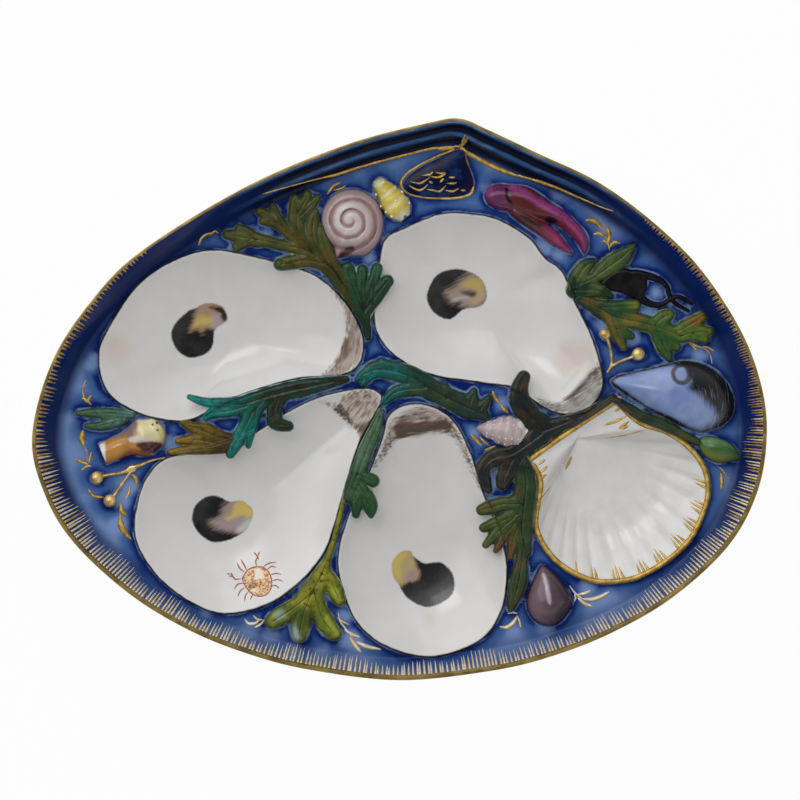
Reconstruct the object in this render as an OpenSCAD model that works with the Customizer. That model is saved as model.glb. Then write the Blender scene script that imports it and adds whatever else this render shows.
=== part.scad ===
// Oyster plate of glazed porcelain in the outline of a clam shell.
// Four oyster wells and a fluted scallop well are seated in a blue field, with shells and weed in relief.
// The plate lies flat: +X to its right, +Y to its hinge, +Z up, with its foot on the plane of zero height.

/* [Plate] */
// Width of the plate across its two tips
plate_w = 216; // [196:1:236]
// Depth of the plate from the hinge beak to the front edge
plate_d = 165; // [150:1:180]
// Height of the edge's land above the table
rim_h = 22; // [20:0.5:25]
// Height of the flat blue field above the table
field_h = 13; // [12.5:0.5:15]
// Width of the flat land along the edge
land_w = 2.2; // [1.8:0.1:2.8]
// Width of the cove from the edge down to the field
cove_w = 6.6; // [5.6:0.1:7.6]
// Width of the mouldings behind the hinge beak
hinge_w = 8.2; // [7:0.1:9]
// Height of the ridges between the hinge grooves
ridge_h = 0.7; // [0.3:0.1:1]
// Rounding of the edge
edge_r = 0.4; // [0.2:0.1:0.7]
// Thickness of the edge
edge_t = 2; // [1.5:0.1:3]

/* [Underside] */
// Height of the foot ring
foot_h = 2; // [1.5:0.1:2.4]
// Width of the foot ring's tread
foot_w = 4; // [3:0.5:6]
// Distance from the plate's edge in to the foot ring
foot_inset = 30; // [26:1:36]
// Width of the flare from the flat base out to the edge
flare_w = 24; // [21:1:25]

/* [Gilding] */
// Thickness of the gilt band
gilt_t = 0.2; // [0.1:0.05:0.4]
// Width of the gilt band round the front and the sides
gilt_w = 1.5; // [1:0.1:1.7]
// Width of the gilt band along the hinge
gilt_hinge_w = 0.7; // [0.4:0.1:1]
// Distance from the edge in to the gilt band
gilt_inset = 0.45; // [0.4:0.05:0.6]

/* [Wells] */
// Height of a well's lip above the blue field
lip_rise = 1; // [0.6:0.1:1.4]
// Width of a well's lip
lip_w = 1.4; // [1:0.1:1.8]
// Rounding of a well's lip
lip_r = 0.4; // [0.2:0.1:0.6]
// Depth of a well's upright wall below the blue field
wall_d = 0.5; // [0.3:0.1:1]
// Depth of an oyster well below its lip
oyster_depth = 8.5; // [7.5:0.1:9]
// Depth of the scallop well below its lip
scallop_depth = 6.5; // [5.5:0.1:7.5]
// Thickness of a well's floor
floor_t = 1.5; // [1:0.1:1.8]
// Depth of the hinge ledge below an oyster well's lip
ledge_depth = 1.8; // [1.2:0.1:3]
// Width of the slope from the ledge into the well
ledge_ramp = 3.5; // [2:0.5:5]
// Height of the scallop's ribs
rib_h = 0.55; // [0.2:0.05:0.8]
// Clearance round each seated piece
seat_gap = 0.15; // [0.1:0.05:0.25]

/* [Relief] */
// Height of the weed above the field
weed_h = 2.3; // [1.8:0.1:3]
// Height of the moon snail
snail_h = 6; // [4:0.5:8]
// Depth of the groove between the snail's turns
snail_groove = 0.45; // [0.2:0.05:0.7]
// Radius of the yellow whelk
yellow_whelk_r = 4.4; // [3.8:0.1:4.6]
// Radius of the pink cone shell
pink_cone_r = 4.6; // [4:0.1:4.8]
// Radius of the orange whelk
orange_whelk_r = 5; // [4:0.1:5.4]
// Height of the crab claw
claw_h = 4; // [3:0.1:5]
// Height of the mussel shell
mussel_h = 5; // [4:0.1:6]
// Height of the egg case
egg_case_h = 2.4; // [1.6:0.1:3]
// Height of the purple shell
purple_shell_h = 5.5; // [4:0.1:7]
// Height of the little clam behind the wells
little_clam_h = 1.2; // [0.8:0.1:2]
// Height of the pod leaf
pod_h = 3; // [2:0.1:4]
// Diameter of a gilt berry
berry_d = 3.7; // [3:0.1:4.4]
// Height of a berry's stem
stem_h = 1.1; // [0.8:0.1:1.6]
// Upright edge of the shells and leaves
hem = 0.3; // [0.2:0.05:0.5]

/* [Hidden] */

// How far a cut runs past the face that it opens
overrun = 1;
lip_h = field_h + lip_rise;
wall_h = field_h - wall_d;

// Places are read off a view straight from above, in its pixels: the middle of the plate and its reach
middle_px = [399.5, 399.5];
reach_px = [735, 561];

// Outlines in pixels, each joined by a closed curve
plate_px = [[767, 432], [760, 380], [739, 327], [698, 266], [648, 218], [596, 181], [541, 155], [488, 130],
    [460, 119], [429, 123], [346, 145], [246, 187], [143, 250], [93, 299], [52, 362], [32, 437], [45, 495],
    [75, 544], [131, 595], [191, 631], [252, 655], [312, 670], [400, 680], [489, 671], [549, 657], [611, 633],
    [673, 597], [729, 545], [758, 490]];
oyster_upper_left_px = [[364, 340], [356, 318], [340, 295], [310, 272], [256, 256], [210, 249], [170, 261],
    [136, 285], [109, 324], [97, 355], [104, 389], [127, 409], [160, 420], [192, 420], [230, 400], [293, 380],
    [340, 376], [360, 364]];
oyster_upper_right_px = [[604, 376], [594, 339], [577, 303], [564, 272], [530, 237], [500, 219], [474, 213],
    [440, 213], [400, 229], [380, 253], [373, 312], [379, 338], [397, 358], [430, 375], [480, 383],
    [515, 389], [539, 405], [562, 415], [587, 410], [601, 395]];
oyster_front_px = [[412, 403], [389, 414], [381, 440], [366, 478], [345, 523], [337, 565], [349, 610],
    [368, 636], [397, 652], [431, 658], [464, 650], [489, 634], [504, 606], [508, 567], [500, 532],
    [484, 492], [472, 454], [457, 424], [438, 408]];
oyster_lower_left_px = [[382, 402], [360, 443], [346, 487], [334, 529], [323, 556], [300, 583], [268, 605],
    [227, 615], [195, 606], [161, 582], [138, 550], [133, 520], [143, 482], [163, 459], [200, 450],
    [250, 434], [286, 412], [320, 396], [358, 388], [376, 390]];
scallop_px = [[646, 423], [634, 415], [622, 404], [613, 401], [528, 459], [533, 468], [539, 482], [537, 500],
    [534, 522], [539, 540], [551, 558], [565, 570], [582, 579], [601, 584], [629, 582], [650, 574],
    [672, 560], [692, 541], [705, 516], [711, 492], [707, 468], [693, 448], [670, 431]];
snail_px = [[384, 222], [378, 202], [362, 190], [345, 189], [329, 198], [321, 215], [324, 235], [333, 247],
    [336, 257], [350, 256], [366, 255], [379, 242]];
mussel_px = [[736, 402], [728, 382], [712, 367], [690, 360], [668, 363], [640, 370], [618, 375], [610, 382],
    [620, 391], [640, 404], [660, 416], [685, 428], [702, 433], [722, 427], [733, 417]];
purple_shell_px = [[573, 604], [567, 587], [556, 574], [546, 566], [540, 566], [533, 580], [528, 594],
    [527, 608], [534, 621], [548, 627], [562, 622]];
little_clam_px = [[461, 149], [436, 159], [414, 171], [403, 184], [410, 193], [432, 197], [458, 195],
    [472, 188], [473, 178], [467, 162]];
pod_leaf_px = [[742, 459], [738, 450], [728, 441], [712, 436], [701, 438], [699, 446], [706, 457], [718, 463],
    [732, 462]];

// Middles that the wells and shells are lofted about, in pixels
oyster_upper_left_middle_px = [235, 335];
oyster_upper_right_middle_px = [482, 305];
oyster_front_middle_px = [424, 540];
oyster_lower_left_middle_px = [238, 515];
scallop_middle_px = [622, 495];
scallop_fan_px = [586, 446];
snail_middle_px = [352, 222];
mussel_middle_px = [680, 396];
purple_shell_middle_px = [550, 600];
little_clam_middle_px = [442, 180];
pod_leaf_middle_px = [719, 450];

// Hinge ledges of the oyster wells: the tip that each lies at, and how far from the middle it starts
oyster_upper_left_ledge_px = [364, 338, 108];
oyster_upper_right_ledge_px = [590, 398, 112];
oyster_front_ledge_px = [414, 403, 103];
oyster_lower_left_ledge_px = [382, 396, 140];

// Axes of the spired shells, from the tip to the mouth
yellow_whelk_px = [[382, 182], [403.5, 216]];
pink_cone_px = [[477, 428], [530, 434]];
orange_whelk_px = [[164, 430], [104, 455]];

// Runs of the weed and of the other branched relief: places and half widths in pixels
olive_weed_px = [
    [[336, 275, 5], [331, 268, 8], [318, 256, 8], [300, 249, 7], [262, 241, 7], [243, 237, 7], [226, 234, 4]],
    [[256, 240, 6], [238, 227, 4]],
    [[258, 243, 6], [235, 247, 4]],
    [[312, 252, 6], [284, 228, 7], [272, 218, 7], [259, 210, 4]],
    [[282, 226, 6], [273, 207, 4]],
    [[278, 222, 6], [260, 221, 4]],
    [[316, 252, 7], [300, 236, 8], [296, 218, 9], [294, 200, 5]],
    [[299, 216, 8], [307, 194, 4]],
    [[302, 218, 7], [318, 195, 3]],
    [[330, 266, 8], [316, 240, 8], [314, 222, 7], [316, 211, 3]],
    [[318, 258, 7], [292, 262, 7], [279, 265, 6]]];
green_fan_px = [
    [[348, 267, 7], [352, 286, 8], [360, 306, 9], [367, 332, 5]],
    [[362, 270, 5], [362, 288, 6], [363, 306, 7]],
    [[377, 268, 6], [371, 286, 6], [365, 306, 7]],
    [[387, 281, 7], [377, 294, 7], [366, 311, 7]]];
teal_centre_px = [
    [[360, 377, 5], [378, 370, 9], [396, 371, 11], [414, 378, 11], [432, 390, 11], [452, 401, 12],
        [470, 409, 11]],
    [[383, 361, 4], [396, 369, 9]],
    [[386, 401, 4], [396, 393, 6], [408, 390, 7], [424, 389, 8]],
    [[446, 387, 4], [450, 399, 10]],
    [[474, 392, 4], [470, 406, 10], [482, 413, 6]],
    [[488, 398, 4], [481, 411, 7]]];
teal_left_px = [
    [[344, 379, 4], [322, 384, 8], [298, 389, 9], [274, 394, 9], [252, 401, 9], [235, 404, 7], [190, 398, 3]],
    [[246, 407, 8], [228, 412, 6], [205, 418, 3]],
    [[252, 406, 8], [240, 432, 8], [230, 453, 5]],
    [[255, 410, 7], [248, 446, 3]],
    [[272, 400, 8], [274, 416, 8], [288, 426, 6]]];
ochre_leaf_px = [
    [[217, 436, 6], [205, 432, 8], [192, 428, 5], [185, 426, 3]],
    [[214, 441, 6], [196, 442, 6], [180, 440, 4]],
    [[214, 444, 4], [192, 449, 4], [173, 450, 3]],
    [[212, 430, 5], [202, 431, 6]],
    [[208, 440, 6], [198, 438, 6]]];
green_stem_px = [
    [[381, 413, 4], [375, 430, 7], [367, 448, 8], [360, 466, 8], [352, 486, 8], [346, 500, 5]],
    [[357, 474, 6], [366, 478, 6], [373, 481, 7]],
    [[358, 486, 6], [366, 498, 8], [370, 514, 3]],
    [[353, 490, 7], [356, 504, 6], [356, 515, 4]]];
front_weed_px = [
    [[342, 509, 2], [338, 519, 3], [331, 545, 3], [325, 562, 4], [319, 578, 9], [311, 593, 11]],
    [[311, 592, 9], [296, 606, 8], [281, 617, 8], [270, 624, 5]],
    [[311, 594, 9], [304, 611, 8], [300, 629, 8], [299, 642, 4]],
    [[314, 592, 9], [318, 608, 8], [326, 625, 8], [338, 640, 5]],
    [[322, 574, 7], [332, 584, 7], [341, 604, 4]]];
scallop_weed_px = [
    [[526, 375, 6], [521, 394, 10], [546, 429, 11], [531, 453, 9], [484, 466, 7], [486, 488, 3]],
    [[548, 428, 9], [580, 417, 6], [614, 396, 4], [637, 413, 5], [668, 427, 5], [690, 439, 4]],
    [[510, 463, 9], [504, 480, 6], [503, 488, 4]],
    [[527, 460, 9], [529, 488, 12], [526, 512, 13], [525, 534, 10], [528, 552, 5]],
    [[520, 504, 8], [492, 507, 7], [481, 510, 5]],
    [[517, 514, 8], [501, 521, 7], [483, 528, 4]],
    [[513, 518, 7], [499, 531, 6], [485, 546, 4]],
    [[516, 522, 7], [496, 551, 3]],
    [[520, 522, 7], [513, 540, 6], [511, 558, 3]],
    [[524, 540, 8], [522, 560, 6], [519, 580, 9], [510, 607, 3]]];
left_weed_px = [
    [[77, 412, 3], [94, 413, 5], [113, 415, 6], [131, 418, 4]],
    [[89, 428, 3], [102, 427, 5], [118, 423, 6]],
    [[108, 418, 4], [124, 420, 4]]];
right_leaves_px = [
    [[600, 277, 4], [608, 268, 9], [619, 260, 10], [628, 252, 7], [634, 246, 2]],
    [[577, 293, 8], [579, 280, 9], [585, 267, 8], [595, 261, 2]],
    [[582, 288, 8], [600, 277, 5]],
    [[580, 294, 7], [600, 295, 6], [613, 298, 4]]];
right_spray_px = [
    [[587, 308, 5], [606, 313, 8], [646, 330, 8], [663, 334, 7], [700, 329, 5], [711, 330, 4]],
    [[592, 309, 3], [630, 303, 4], [637, 306, 5]],
    [[636, 322, 6], [655, 322, 5], [672, 315, 6]],
    [[668, 330, 4], [686, 323, 6], [703, 315, 4]],
    [[686, 333, 5], [706, 341, 4]],
    [[654, 334, 7], [669, 355, 4]],
    [[664, 337, 6], [675, 346, 5]],
    [[614, 318, 8], [626, 345, 4]],
    [[622, 325, 6], [630, 335, 4]]];
crab_claw_px = [
    [[494, 194, 10], [505, 197, 12]],
    [[518, 199, 14], [535, 206, 14], [550, 213, 12], [566, 222, 8], [580, 236, 7], [586, 250, 3]],
    [[524, 212, 11], [536, 224, 10], [550, 236, 8], [562, 246, 6], [571, 253, 3]]];
egg_case_px = [
    [[604, 286, 3], [616, 283, 7], [630, 282, 11], [641, 286, 12]],
    [[640, 276, 6], [655, 278, 4], [667, 286, 3], [672, 298, 2.5], [680, 306, 2], [690, 310, 2]],
    [[641, 293, 6], [650, 302, 4], [660, 304, 3], [673, 298, 2.5], [684, 298, 2], [692, 304, 2]]];
berry_stems_right_px = [
    [[606, 334, 3], [610, 345, 2], [612, 356, 2], [612, 365, 2], [608, 371, 2]],
    [[639, 354, 3], [630, 358, 2], [622, 361, 2], [612, 366, 2]]];
berry_stems_left_px = [
    [[96, 478, 3], [108, 475, 2], [120, 473, 2], [132, 470, 5]],
    [[109, 501, 3], [116, 492, 2], [122, 483, 2], [130, 472, 2]],
    [[130, 470, 5], [137, 468, 3]]];
berries_right_px = [[606, 334], [639, 354]];
berries_left_px = [[96, 478], [109, 501]];

// Shares of a ring's way across the underside's flare, from the flat base out to the edge
flare_shares = [1, 0.7, 0.45, 0.25, 0.1, 0];
// Shares of the way down the cove, and on which of them a hinge ridge stands, or a groove lies
cove_shares = [0.15, 0.3, 0.45, 0.6, 0.75, 0.88, 1];
ridge_shares = [-1, 1, -1, 1, -1, 0.4, 0];
flare_power = 3;
cove_power = 2;
// Bearings between which the hinge mouldings run, and the turn over which they die away
hinge_from = 30;
hinge_to = 138;
hinge_fade = 28;

// A well's floor against its outline, and how its inside falls: shares of the way out and of the depth
well_floor_share = 0.62;
well_ring_shares = [0.92, 0.7, 0.38];
oyster_fall_shares = [[0, 1], [0.38, 0.94], [0.7, 0.66], [0.92, 0.22], [1, 0]];
scallop_fall_shares = [[0, 0.5], [0.38, 0.92], [0.7, 0.9], [0.92, 0.36], [1, 0]];
// How strongly each turn of the scallop's outline is fluted, from the right ear round to the left one
flute_shares = [[0, 0.6], [1, 0], [6, 0], [7, 0.6], [8, 1], [22, 1], [23, 0.6]];

// Domes: shares of the way out and of the height
dome_shares = [[0.9, 0.4], [0.7, 0.72], [0.42, 0.93]];
snail_shares = [[0.93, 0.3], [0.82, 0.5], [0.7, 0.64], [0.58, 0.76], [0.46, 0.86], [0.33, 0.94], [0.18, 1]];
snail_turns = 3.2;
mussel_dome_shares = [[0.93, 0.3], [0.78, 0.62], [0.55, 0.86], [0.28, 0.97]];

// Profiles of the spired shells: shares of the length from the tip, and of the radius
yellow_whelk_shares = [[0, 0.3], [0.05, 0.52], [0.17, 0.66], [0.22, 0.63], [0.36, 0.86], [0.42, 0.82],
    [0.58, 1], [0.65, 0.95], [0.8, 0.9], [0.92, 0.62], [1, 0.4]];
pink_cone_shares = [[0, 0.12], [0.12, 0.42], [0.16, 0.4], [0.32, 0.72], [0.36, 0.7], [0.52, 1], [0.57, 0.96],
    [0.72, 0.98], [0.86, 0.72], [0.92, 0.42], [1, 0.3]];
orange_whelk_shares = [[0, 0.2], [0.04, 0.5], [0.12, 0.78], [0.17, 0.76], [0.32, 1], [0.38, 0.97],
    [0.52, 0.86], [0.66, 0.64], [0.82, 0.58], [1, 0.66]];

// A run of weed: how narrow its crown is, and how low its thin ends lie
crown_share = 0.5;
low_share = 0.75;
full_width_px = 8;
weed_sides = 6;
curve_steps = 2;
plate_steps = 2;
scallop_steps = 3;
snail_steps = 3;
turned_sides = 48;
// How far a berry's middle stands above the field, as a share of its diameter
berry_sink_share = 0.25;

function at(p) = [(p.x - middle_px.x) * plate_w / reach_px.x, (middle_px.y - p.y) * plate_d / reach_px.y];
function span(px) = px * (plate_w / reach_px.x + plate_d / reach_px.y) / 2;
function unit(v) = v / norm(v);
function smooth(t) = let (c = min(1, max(0, t))) c * c * (3 - 2 * c);
function mix(a, b, t) = a + (b - a) * t;
function round_list(list, i) = list[(i + len(list)) % len(list)];

// A closed curve through hand-chosen points
function curve(a, b, c, d, t) =
    b + (c - a) * t / 2 + (a - 2.5 * b + 2 * c - d / 2) * t * t + (1.5 * (b - c) + (d - a) / 2) * t * t * t;
function closed(px, steps) = [for (i = [0 : len(px) - 1], k = [0 : steps - 1])
    curve(round_list(px, i - 1), px[i], round_list(px, i + 1), round_list(px, i + 2), k / steps)];
function turn_sum(ring) = [for (i = [0 : len(ring) - 1]) cross(ring[i], round_list(ring, i + 1))]
    * [for (i = [0 : len(ring) - 1]) 1];
function upward(ring) = turn_sum(ring) > 0 ? ring : [for (i = [len(ring) - 1 : -1 : 0]) ring[i]];
function outline(px, steps) = upward([for (p = closed(px, steps)) at(p)]);

// A ring moved in or out along its own normals, towards the plate's middle, or towards a chosen point
function normal_at(ring, i) = let (d = unit(round_list(ring, i + 1) - round_list(ring, i - 1))) [d.y, -d.x];
function grown(ring, d) = [for (i = [0 : len(ring) - 1]) ring[i] + normal_at(ring, i) * d];
function inset(p, d) = p - unit(p) * d;
function shrunk(ring, middle, share) = [for (p = ring) mix(middle, p, share)];
function level(ring, z) = [for (p = ring) [p.x, p.y, z]];

// The plate's own rings
edge_ring = outline(plate_px, plate_steps);
function bearing(p) = atan2(p.y, p.x);
function hinge_weight(p) = p.y < 0 ? 0
    : smooth((bearing(p) - hinge_from) / hinge_fade) * smooth((hinge_to - bearing(p)) / hinge_fade);
function cove_inset(p, t) = mix(land_w, mix(cove_w, hinge_w, hinge_weight(p)), t);
function cove_z(t) = field_h + (rim_h - field_h) * pow(1 - t, cove_power);
function hinge_z(t, ridge) = mix(rim_h, field_h, t) + ridge * ridge_h;
function cove_point(p, k) = let (q = inset(p, cove_inset(p, cove_shares[k])))
    [q.x, q.y, mix(cove_z(cove_shares[k]), hinge_z(cove_shares[k], ridge_shares[k]), hinge_weight(p))];
function flare_z(share) = mix(foot_h, rim_h - edge_t, pow(1 - share, flare_power));
field_ring = [for (p = edge_ring) inset(p, cove_inset(p, 1))];

// The wells' own rings
oyster_upper_left_ring = outline(oyster_upper_left_px, curve_steps);
oyster_upper_right_ring = outline(oyster_upper_right_px, curve_steps);
oyster_front_ring = outline(oyster_front_px, curve_steps);
oyster_lower_left_ring = outline(oyster_lower_left_px, curve_steps);
scallop_ring = outline(scallop_px, scallop_steps);
well_rings = [oyster_upper_left_ring, oyster_upper_right_ring, oyster_front_ring, oyster_lower_left_ring,
    scallop_ring];
well_middles_px = [oyster_upper_left_middle_px, oyster_upper_right_middle_px, oyster_front_middle_px,
    oyster_lower_left_middle_px, scallop_middle_px];
well_depths = [oyster_depth, oyster_depth, oyster_depth, oyster_depth, scallop_depth];
function seat_z(depth) = lip_h - depth - floor_t;

// One closed solid through rings of equal count, from the lowest ring up and over to the last one
module loft(rings, foot, crown) {
    n = len(rings[0]);
    last = len(rings) - 1;
    points = concat([for (ring = rings) each ring], [foot, crown]);
    foot_at = len(points) - 2;
    crown_at = len(points) - 1;
    side = [for (k = [0 : last - 1], i = [0 : n - 1]) let (j = (i + 1) % n)
        each [[k * n + i, k * n + n + i, k * n + n + j], [k * n + i, k * n + n + j, k * n + j]]];
    under = [for (i = [0 : n - 1]) [foot_at, i, (i + 1) % n]];
    over = [for (i = [0 : n - 1]) [crown_at, last * n + (i + 1) % n, last * n + i]];
    polyhedron(points, concat(side, under, over), convexity = 6);
}

// Upright prism over a ring
module prism(ring, from_z, to_z) {
    translate([0, 0, from_z]) linear_extrude(to_z - from_z) polygon(ring);
}

// The pressed blank: a flared underside, a rounded edge, a cove or hinge mouldings, and the flat field
module blank() {
    under = [for (share = flare_shares) [for (p = edge_ring) let (q = inset(p, flare_w * share))
        [q.x, q.y, flare_z(share)]]];
    edge = [level(edge_ring, rim_h - edge_r),
        level([for (p = edge_ring) inset(p, edge_r)], rim_h),
        level([for (p = edge_ring) inset(p, land_w)], rim_h)];
    cove = [for (k = [0 : len(cove_shares) - 1]) [for (p = edge_ring) cove_point(p, k)]];
    loft(concat(under, edge, cove), [0, 0, foot_h], [0, 0, field_h]);
}

// The seat cut for a well: upright past the field and tapered to its floor
module seat(ring, middle, depth) {
    wide = grown(ring, seat_gap);
    floor_ring = shrunk(wide, middle, well_floor_share);
    loft([level(floor_ring, seat_z(depth)), level(wide, wall_h), level(wide, rim_h + overrun)],
        [middle.x, middle.y, seat_z(depth)], [middle.x, middle.y, rim_h + overrun]);
}

module plate_body() {
    color("#2f4f9a") difference() {
        blank();
        for (k = [0 : len(well_rings) - 1]) seat(well_rings[k], at(well_middles_px[k]), well_depths[k]);
    }
}

module foot_ring() {
    color("#e9e6df") linear_extrude(foot_h) difference() {
        polygon([for (p = edge_ring) inset(p, foot_inset)]);
        polygon([for (p = edge_ring) inset(p, foot_inset + foot_w)]);
    }
}

module gilt_rim() {
    color("#c9a24a") translate([0, 0, rim_h]) linear_extrude(gilt_t) difference() {
        polygon([for (p = edge_ring) inset(p, gilt_inset)]);
        polygon([for (p = edge_ring) inset(p, gilt_inset + mix(gilt_w, gilt_hinge_w, hinge_weight(p)))]);
    }
}

// A well's outside and lip, the same for every shell
function well_shell(ring, middle, depth) = [
    level(shrunk(ring, middle, well_floor_share), seat_z(depth)),
    level(ring, wall_h),
    level(ring, lip_h - lip_r),
    level(grown(ring, -lip_r), lip_h),
    level(grown(ring, -lip_w), lip_h)];

// An oyster well, which falls from its lip to a rounded floor and keeps a raised ledge at its hinge
module oyster_well(ring, middle, ledge_px) {
    inner = grown(ring, -lip_w);
    tip = at(ledge_px) - middle;
    ledge_from = span(ledge_px[2]);
    function ledge(p) = smooth(((p - middle) * unit(tip) - ledge_from) / ledge_ramp);
    function fall(share) = lip_h - oyster_depth * lookup(share, oyster_fall_shares);
    function inside(p, share) = let (q = mix(middle, p, share))
        [q.x, q.y, fall(share) + ledge(q) * max(0, lip_h - ledge_depth - fall(share))];
    bowl = [for (share = well_ring_shares) [for (p = inner) inside(p, share)]];
    loft(concat(well_shell(ring, middle, oyster_depth), bowl),
        [middle.x, middle.y, seat_z(oyster_depth)], [middle.x, middle.y, fall(0)]);
}

module oyster_well_upper_left() {
    color("#e8e7e4") oyster_well(oyster_upper_left_ring, at(oyster_upper_left_middle_px),
        oyster_upper_left_ledge_px);
}

module oyster_well_upper_right() {
    color("#e8e7e4") oyster_well(oyster_upper_right_ring, at(oyster_upper_right_middle_px),
        oyster_upper_right_ledge_px);
}

module oyster_well_front() {
    color("#e8e7e4") oyster_well(oyster_front_ring, at(oyster_front_middle_px), oyster_front_ledge_px);
}

module oyster_well_lower_left() {
    color("#e8e7e4") oyster_well(oyster_lower_left_ring, at(oyster_lower_left_middle_px),
        oyster_lower_left_ledge_px);
}

// The scallop well: its ribs fan out from the hinge, one to each step of its rounded outline
module scallop_well() {
    middle = at(scallop_middle_px);
    fan = at(scallop_fan_px);
    inner = grown(scallop_ring, -lip_w);
    function flute(i) = lookup(i / scallop_steps, flute_shares) * cos(360 * i / scallop_steps) * rib_h;
    function fall(share) = lip_h - scallop_depth * lookup(share, scallop_fall_shares);
    bowl = [for (share = well_ring_shares) [for (i = [0 : len(inner) - 1]) let (q = mix(fan, inner[i], share))
        [q.x, q.y, fall(share) + flute(i) * share]]];
    color("#efeeec") loft(concat(well_shell(scallop_ring, middle, scallop_depth), bowl),
        [middle.x, middle.y, seat_z(scallop_depth)], [fan.x, fan.y, fall(0)]);
}

// A domed shell or leaf that sits flat on the field
module domed(px, middle_at_px, tall, shares, steps) {
    ring = outline(px, steps);
    middle = at(middle_at_px);
    rings = [for (s = shares) level(shrunk(ring, middle, s[0]), field_h + hem + (tall - hem) * s[1])];
    loft(concat([level(ring, field_h), level(ring, field_h + hem)], rings),
        [middle.x, middle.y, field_h], [middle.x, middle.y, field_h + tall]);
}

// The moon snail, with one groove that winds up its dome
module moon_snail() {
    ring = outline(snail_px, snail_steps);
    middle = at(snail_middle_px);
    function groove(p, share) = snail_groove * share * cos(bearing(p - middle) + 360 * snail_turns * share);
    rings = [for (s = snail_shares) [for (p = ring) let (q = mix(middle, p, s[0]))
        [q.x, q.y, field_h + hem + (snail_h - hem) * s[1] + groove(p, s[0])]]];
    color("#d9c3c4") loft(concat([level(ring, field_h), level(ring, field_h + hem)], rings),
        [middle.x, middle.y, field_h], [middle.x, middle.y, field_h + snail_h]);
}

// A spired shell that lies on its side, half sunk, turned from its profile and cut flat by the field
module spired(ends_px, radius, shares) {
    tip = at(ends_px[0]);
    run = at(ends_px[1]) - tip;
    profile = concat([[0, 0]], [for (s = shares) [s[1] * radius, s[0] * norm(run)]], [[0, norm(run)]]);
    intersection() {
        translate([tip.x, tip.y, field_h])
            rotate([0, 90, bearing(run)])
                rotate_extrude($fn = turned_sides) polygon(profile);
        prism(field_ring, field_h, rim_h + overrun);
    }
}

module yellow_whelk() {
    color("#dccb5e") difference() {
        spired(yellow_whelk_px, yellow_whelk_r, yellow_whelk_shares);
        room_over(snail_px, snail_steps);
    }
}

module pink_cone_shell() {
    color("#cbb3b6") spired(pink_cone_px, pink_cone_r, pink_cone_shares);
}

module orange_whelk() {
    color("#c98a3a") spired(orange_whelk_px, orange_whelk_r, orange_whelk_shares);
}

module mussel_shell() {
    color("#7f92c4") domed(mussel_px, mussel_middle_px, mussel_h, mussel_dome_shares, curve_steps);
}

module purple_shell() {
    color("#6a5263") domed(purple_shell_px, purple_shell_middle_px, purple_shell_h, mussel_dome_shares,
        curve_steps);
}

module little_clam() {
    color("#1f3270") domed(little_clam_px, little_clam_middle_px, little_clam_h, dome_shares, curve_steps);
}

module pod_leaf() {
    color("#4f7a3a") domed(pod_leaf_px, pod_leaf_middle_px, pod_h, dome_shares, curve_steps);
}

// One bead of a run, and the runs that branch from it
module bead(p, tall) {
    spot = at(p);
    translate([spot.x, spot.y, field_h])
        cylinder(r1 = span(p[2]), r2 = span(p[2]) * crown_share,
            h = tall * mix(low_share, 1, min(1, p[2] / full_width_px)), $fn = weed_sides);
}

module runs(branches, tall) {
    for (branch = branches, i = [0 : len(branch) - 2]) hull() {
        bead(branch[i], tall);
        bead(branch[i + 1], tall);
    }
}

// Room kept round a domed neighbour
module room_over(px, steps) {
    prism(grown(outline(px, steps), seat_gap), field_h - overrun, rim_h + overrun);
}

// Branched relief on the field: it rests on the wells' lips where it laps them, and clears its neighbours
module sprig(branches, tall) {
    difference() {
        intersection() {
            runs(branches, tall);
            prism(field_ring, field_h, rim_h + overrun);
        }
        for (ring = well_rings) prism(grown(ring, seat_gap), field_h - overrun, lip_h);
        children();
    }
}

module olive_weed() {
    color("#5a6b34") sprig(olive_weed_px, weed_h) room_over(snail_px, snail_steps);
}

module green_fan_weed() {
    color("#27503a") sprig(green_fan_px, weed_h);
}

module teal_centre_weed() {
    color("#1f6a62") sprig(teal_centre_px, weed_h);
}

module teal_left_weed() {
    color("#1f5f55") sprig(teal_left_px, weed_h);
}

module ochre_leaf() {
    color("#8a6f2c") sprig(ochre_leaf_px, weed_h);
}

module green_stem_weed() {
    color("#46653f") sprig(green_stem_px, weed_h);
}

module front_weed() {
    color("#7d8a2e") sprig(front_weed_px, weed_h);
}

module scallop_weed() {
    color("#3c4a38") sprig(scallop_weed_px, weed_h);
}

module left_weed() {
    color("#3f6b52") sprig(left_weed_px, weed_h);
}

module right_leaves() {
    color("#3f6a3a") sprig(right_leaves_px, weed_h);
}

module right_spray() {
    color("#5f8a3c") sprig(right_spray_px, weed_h);
}

module crab_claw() {
    color("#8f2f55") sprig(crab_claw_px, claw_h);
}

module egg_case() {
    color("#17171a") sprig(egg_case_px, egg_case_h);
}

// Gilt beads on thin stems
module berries(stems_px, beads_px) {
    sprig(stems_px, stem_h);
    for (p = beads_px) intersection() {
        translate([at(p).x, at(p).y, field_h + berry_d * berry_sink_share])
            sphere(d = berry_d, $fn = turned_sides);
        prism(field_ring, field_h, rim_h + overrun);
    }
}

module gilt_berries_right() {
    color("#d6b25a") berries(berry_stems_right_px, berries_right_px);
}

module gilt_berries_left() {
    color("#d6b25a") berries(berry_stems_left_px, berries_left_px);
}

plate_body();
foot_ring();
gilt_rim();
oyster_well_upper_left();
oyster_well_upper_right();
oyster_well_front();
oyster_well_lower_left();
scallop_well();
moon_snail();
yellow_whelk();
crab_claw();
mussel_shell();
egg_case();
purple_shell();
pink_cone_shell();
orange_whelk();
little_clam();
pod_leaf();
olive_weed();
green_fan_weed();
teal_centre_weed();
teal_left_weed();
ochre_leaf();
green_stem_weed();
front_weed();
scallop_weed();
left_weed();
right_leaves();
right_spray();
gilt_berries_right();
gilt_berries_left();
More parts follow.
